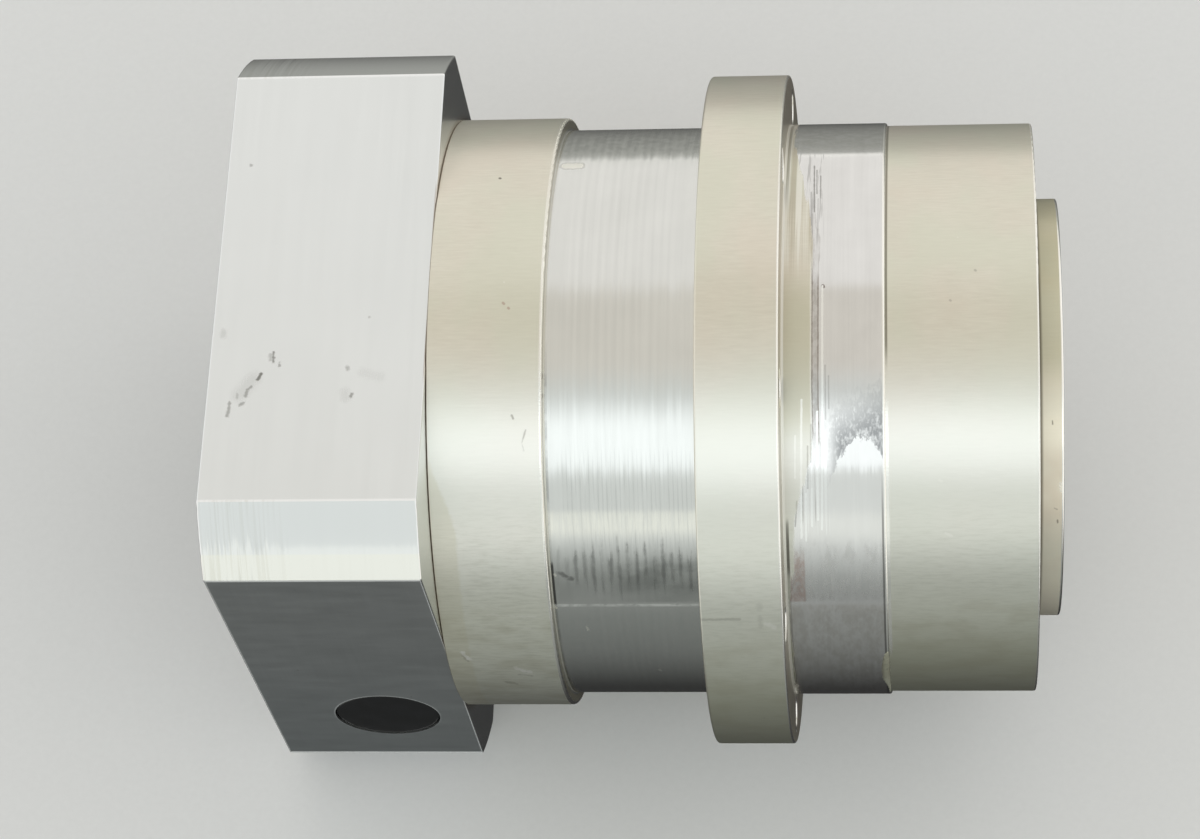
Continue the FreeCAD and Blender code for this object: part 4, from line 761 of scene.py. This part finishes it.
def mat_steel(name, low, high, rough0, fine=3.0, marks=0.3):
    """Ground or turned steel: lines round the axis on rims, rings on end faces."""
    m = Mat(name)
    end = m.step(m.absv(m.nx), 0.6, 0.8)
    f, b = turned_lines(m, m.mixf(end, m.x0, m.r0), m.a0, fine, 0.5)
    cloud = m.noise(m.p, 0.15, 3.0, 0.55)
    t = m.add(m.mul(m.sub(f, 0.5), 0.6), m.add(m.mul(m.sub(b, 0.5), marks), m.mul(m.sub(cloud, 0.5), marks)))
    base = m.mixc(m.math("ADD", 0.5, t, clamp=True), low, high)
    rough = m.add(rough0, m.mul(m.sub(f, 0.5), 0.12))
    return m.finish(base, None, rough, m.bump(f, 0.15, 0.00004), Metallic=1.0)


def mat_black_oxide():
    m = Mat("black_oxide")
    grain = m.noise(m.p, 3.0, 3.0, 0.65)
    worn = m.noise(m.p, 0.6, 4.0, 0.7)
    base = m.mixc(m.step(worn, 0.55, 0.75), lin(58, 58, 61), lin(104, 102, 100))
    base = m.mixc(m.mul(grain, 0.3), base, lin(34, 34, 36))
    rough = m.add(0.36, m.mul(m.sub(grain, 0.5), 0.25))
    return m.finish(base, None, rough, m.bump(grain, 0.15, 0.00004), Metallic=1.0)


def mat_bronze():
    m = Mat("bronze")
    end = m.step(m.absv(m.nx), 0.6, 0.8)
    f, b = turned_lines(m, m.mixf(end, m.x0, m.r0), m.a0, 3.0, 0.5)
    cloud = m.noise(m.p, 0.25, 3.0, 0.6)
    base = m.mixc(m.math("ADD", m.mul(f, 0.5), m.mul(cloud, 0.5), clamp=True), lin(150, 112, 66), lin(214, 176, 120))
    rough = m.add(0.30, m.mul(m.sub(f, 0.5), 0.15))
    return m.finish(base, None, rough, m.bump(f, 0.15, 0.00004), Metallic=1.0)


aluminium_in = mat_steel("aluminium_inside", lin(196, 196, 196), lin(238, 237, 235), 0.26)
hardened = mat_steel("hardened_steel", lin(158, 158, 160), lin(214, 213, 212), 0.20)
rolled = mat_steel("bearing_steel", lin(170, 171, 174), lin(226, 226, 226), 0.12, 2.0, 0.2)
pressed = mat_steel("pressed_steel", lin(138, 139, 142), lin(196, 195, 193), 0.30, 1.2, 0.5)
oxide = mat_black_oxide()
bronze = mat_bronze()
nitrile = mat_rubber("seal_rubber", lin(26, 24, 23), lin(44, 40, 38))
by_slot = {
    "machined_aluminium": aluminium_in,
    "champagne_paint": aluminium_in,
    "output_coat": hardened,
    "turned_steel": hardened,
    "hardened_steel": hardened,
    "cage_steel": pressed,
    "dark_screw_steel": oxide,
    "bronze": bronze,
    "seal_rubber": nitrile,
    "black_plastic": nitrile,
}
by_node = {
    "adapter_plate": mat_plate(),
    "input_housing": mat_input_housing(),
    "ring_gear": mat_ring_gear(),
    "output_housing": mat_output_housing(),
    "output_flange": mat_output_flange(),
    "access_plug": mat_plug(),
}
for k in ("front_bearing_rollers", "rear_bearing_rollers", "input_bearing_balls", "front_bearing_cone", "rear_bearing_cone",
          "front_bearing_cup", "rear_bearing_cup", "input_bearing_inner_ring", "input_bearing_outer_ring"):
    by_node[k] = rolled
slots = {s["node"]: s["material_slot"] for s in frame["record"]["subparts"]}
for name, obj in nodes.items():
    mat = by_node.get(name) or by_slot[slots[name]]
    obj.data.materials.clear()
    obj.data.materials.append(mat)


# ---------------------------------------------------------------- paint run

def mat_run():
    m = Mat("run_paint")
    grain, cloud = paint_grain(m)
    base = paint_color(m, grain, cloud, lin(190, 188, 166), lin(164, 162, 142))
    thin = m.noise(m.p, 1.4, 3.0, 0.6)
    base = m.mixc(m.mul(m.step(thin, 0.45, 0.70), 0.5), base, lin(120, 118, 102))
    # thinner and greyer where it ends on the bare band
    base = m.mixc(m.step(m.x, 17.7, 16.9, 0.0, 0.6), base, lin(124, 123, 112))
    rough = m.add(0.42, m.mul(m.sub(grain, 0.5), 0.10))
    return m.finish(base, None, rough, m.bump(grain, 0.10, 0.00005), Metallic=0.55)


def paint_run():
    """A run of paint that crept over the lip on to the bare band, low on the near side: a thin closed shell."""
    outline = (  # angle, left and right edge in mm along the axis, height in mm
        (170.6, 17.95, 18.30, 0.06), (172.0, 17.45, 18.36, 0.14), (173.6, 17.22, 18.40, 0.20), (175.4, 17.02, 18.40, 0.24),
        (177.4, 16.92, 18.42, 0.26), (179.4, 16.88, 18.42, 0.27), (181.4, 16.96, 18.42, 0.26), (183.4, 17.12, 18.43, 0.22),
        (185.2, 17.42, 18.43, 0.19), (187.0, 17.78, 18.44, 0.17), (189.4, 17.98, 18.44, 0.15), (192.4, 18.08, 18.44, 0.12), (195.0, 18.18, 18.40, 0.05),
    )

    def base_radius(x):
        if x <= 18.05:
            return 55.0
        return 54.55 + math.sqrt(max(0.45 ** 2 - (x - 18.05) ** 2, 0.0))

    def place(x, ang, r):
        t = math.radians(ang)
        return (x * MM, r * math.cos(t) * MM, r * math.sin(t) * MM)

    # finer rows between the given ones
    rows = []
    for k in range(len(outline) - 1):
        for i in range(4):
            f = i / 4.0
            rows.append(tuple(p * (1 - f) + q * f for p, q in zip(outline[k], outline[k + 1])))
    rows.append(outline[-1])
    cols = 14
    bm = bmesh.new()
    top, under = [], []
    last = len(rows) - 1
    for i, (ang, xl, xr, h) in enumerate(rows):
        wob = 0.05 * math.sin(i * 1.7) + 0.03 * math.sin(i * 0.61 + 1.0)
        tr, ur = [], []
        for j in range(cols + 1):
            v = j / cols
            x = (xl + wob) * (1 - v) + xr * v
            dome = (1.0 - abs(2 * v - 1) ** 2.6) * (1.0 - 0.16 * math.sin(3.2 * v + 0.23 * i))
            rim = j in (0, cols) or i in (0, last)
            r = base_radius(x)
            tr.append(bm.verts.new(place(x, ang, r - 0.03 if rim else r + h * dome)))
            ur.append(tr[-1] if rim else bm.verts.new(place(x, ang, r - 0.10)))
        top.append(tr)
        under.append(ur)
    for i in range(last):
        for j in range(cols):
            bm.faces.new((top[i][j], top[i][j + 1], top[i + 1][j + 1], top[i + 1][j]))
            quad = (under[i][j], under[i + 1][j], under[i + 1][j + 1], under[i][j + 1])
            if any(q not in (top[i][j], top[i][j + 1], top[i + 1][j + 1], top[i + 1][j]) for q in quad):
                bm.faces.new(quad)
    bmesh.ops.recalc_face_normals(bm, faces=bm.faces)
    for f in bm.faces:
        f.smooth = True
    me = bpy.data.meshes.new("paint_run")
    bm.to_mesh(me)
    bm.free()
    ob = bpy.data.objects.new("paint_run", me)
    scene.collection.objects.link(ob)
    me.materials.append(mat_run())
    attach(ob, "housing")
    return ob


paint_run()


# ---------------------------------------------------------------- floor, light, camera

def floor_disc():
    """Pale round floor under the two places the object rests on: flange rim and plate edge."""
    x0, z0, x1, z1 = -14.2, -64.5, -102.5, -54.5
    slope = (z1 - z0) / (x1 - x0)
    me = bpy.data.meshes.new("floor")
    bm = bmesh.new()
    rings, seg = (0.0, 0.12, 0.25, 0.40, 0.60), 96
    cx, cy = -0.03, 0.0
    prev = None
    for rad in rings:
        if rad == 0.0:
            prev = [bm.verts.new((cx, cy, (z0 + slope * (cx / MM - x0)) * MM - 0.0003))]
            continue
        cur = []
        for i in range(seg):
            t = 2 * math.pi * i / seg
            x, y = cx + rad * math.cos(t), cy + rad * math.sin(t)
            cur.append(bm.verts.new((x, y, (z0 + slope * (x / MM - x0)) * MM - 0.0003)))
        for i in range(seg):
            j = (i + 1) % seg
            if len(prev) == 1:
                bm.faces.new((prev[0], cur[i], cur[j]))
            else:
                bm.faces.new((prev[i], cur[i], cur[j], prev[j]))
        prev = cur
    bm.normal_update()
    bm.to_mesh(me)
    bm.free()
    ob = bpy.data.objects.new("floor", me)
    scene.collection.objects.link(ob)
    m = Mat("floor_paper")
    g = m.noise(m.p, 0.8, 3.0, 0.6)
    base = m.mixc(g, lin(224, 224, 223), lin(230, 230, 229))
    me.materials.append(m.finish(base, None, None, None, Roughness=0.9))
    ob.visible_glossy = False
    ob.visible_diffuse = False
    return ob


floor_disc()


def studio_light():
    """Soft panels round the object, placed by their angle about the X axis (0 = +Y, 90 = up, 180 = -Y)."""
    world = bpy.data.worlds.new("studio")
    scene.world = world
    world.use_nodes = True
    w = Net(world.node_tree)
    out = w.new("ShaderNodeOutputWorld")
    tc = w.new("ShaderNodeTexCoord")
    dx, dy, dz = w.parts(w.vmath("NORMALIZE", tc.outputs["Generated"]))
    a = w.math("MULTIPLY_ADD", w.math("ARCTAN2", w.mul(dy, -1.0), dz), 180.0 / math.pi, 90.0)
    panels = (
        # from, to, soft before, soft after, level, tint
        (-6.0, 64.0, 1.6, 6.0, 0.86, (1.0, 0.99, 0.965)),       # far wall
        (70.0, 96.0, 6.0, 16.0, 0.70, (1.0, 0.965, 0.89)),      # ceiling, warm
        (112.0, 168.0, 16.0, 20.0, 0.72, (0.95, 1.0, 0.985)),   # ceiling, cool
        (123.0, 138.0, 15.0, 3.5, 0.52, (0.94, 1.0, 1.06)),     # strip over the near side
        (158.2, 168.0, 1.0, 3.0, 0.13, (1.0, 0.97, 0.85)),      # low card
        (-12.0, -6.0, 54.0, 1.6, 0.34, (0.98, 1.0, 0.93)),      # low glow, far side
        (184.0, 200.0, 12.0, 72.0, 0.270, (0.94, 1.0, 0.97)),   # low glow, near side
        (199.3, 200.5, 0.6, 0.6, 0.22, (1.0, 1.0, 1.0)),        # thin bright line in it
    )
    total = grey(0.035)
    for lo, hi, s0, s1, level, tint in panels:
        f = w.span(a, lo, hi, s0, s1)
        total = w.mixc(f, total, tuple(level * c for c in tint) + (1.0,), "ADD")
    side = w.mul(w.step(w.absv(dx), 0.55, 0.80), w.step(dz, -0.65, -0.45))
    total = w.mixc(side, total, (1.0, 1.0, 0.99, 1.0))
    seen = w.new("ShaderNodeLightPath").outputs["Is Camera Ray"]
    total = w.mixc(seen, total, grey(0.56))
    bg = w.new("ShaderNodeBackground")
    w.put(bg.inputs["Color"], total)
    w.t.links.new(bg.outputs[0], out.inputs[0])


studio_light()


def photo_camera():
    cam = bpy.data.cameras.new("camera")
    cam.sensor_fit = "HORIZONTAL"
    cam.sensor_width = 36.0
    cam.lens = 101.032
    cam.clip_start = 0.01
    cam.clip_end = 50.0
    ob = bpy.data.objects.new("camera", cam)
    scene.collection.objects.link(ob)
    right = Vector((0.99478393, 0.03643661, -0.09527488))
    up = Vector((0.00893568, 0.89930678, 0.43722703))
    fwd = Vector((-0.10161242, 0.43579777, -0.89429034))
    ob.matrix_world = Matrix((
        (right.x, up.x, -fwd.x, 0.02883898),
        (right.y, up.y, -fwd.y, -0.28782630),
        (right.z, up.z, -fwd.z, 0.58690687),
        (0.0, 0.0, 0.0, 1.0),
    ))
    scene.camera = ob


photo_camera()
scene.view_settings.view_transform = "Standard"
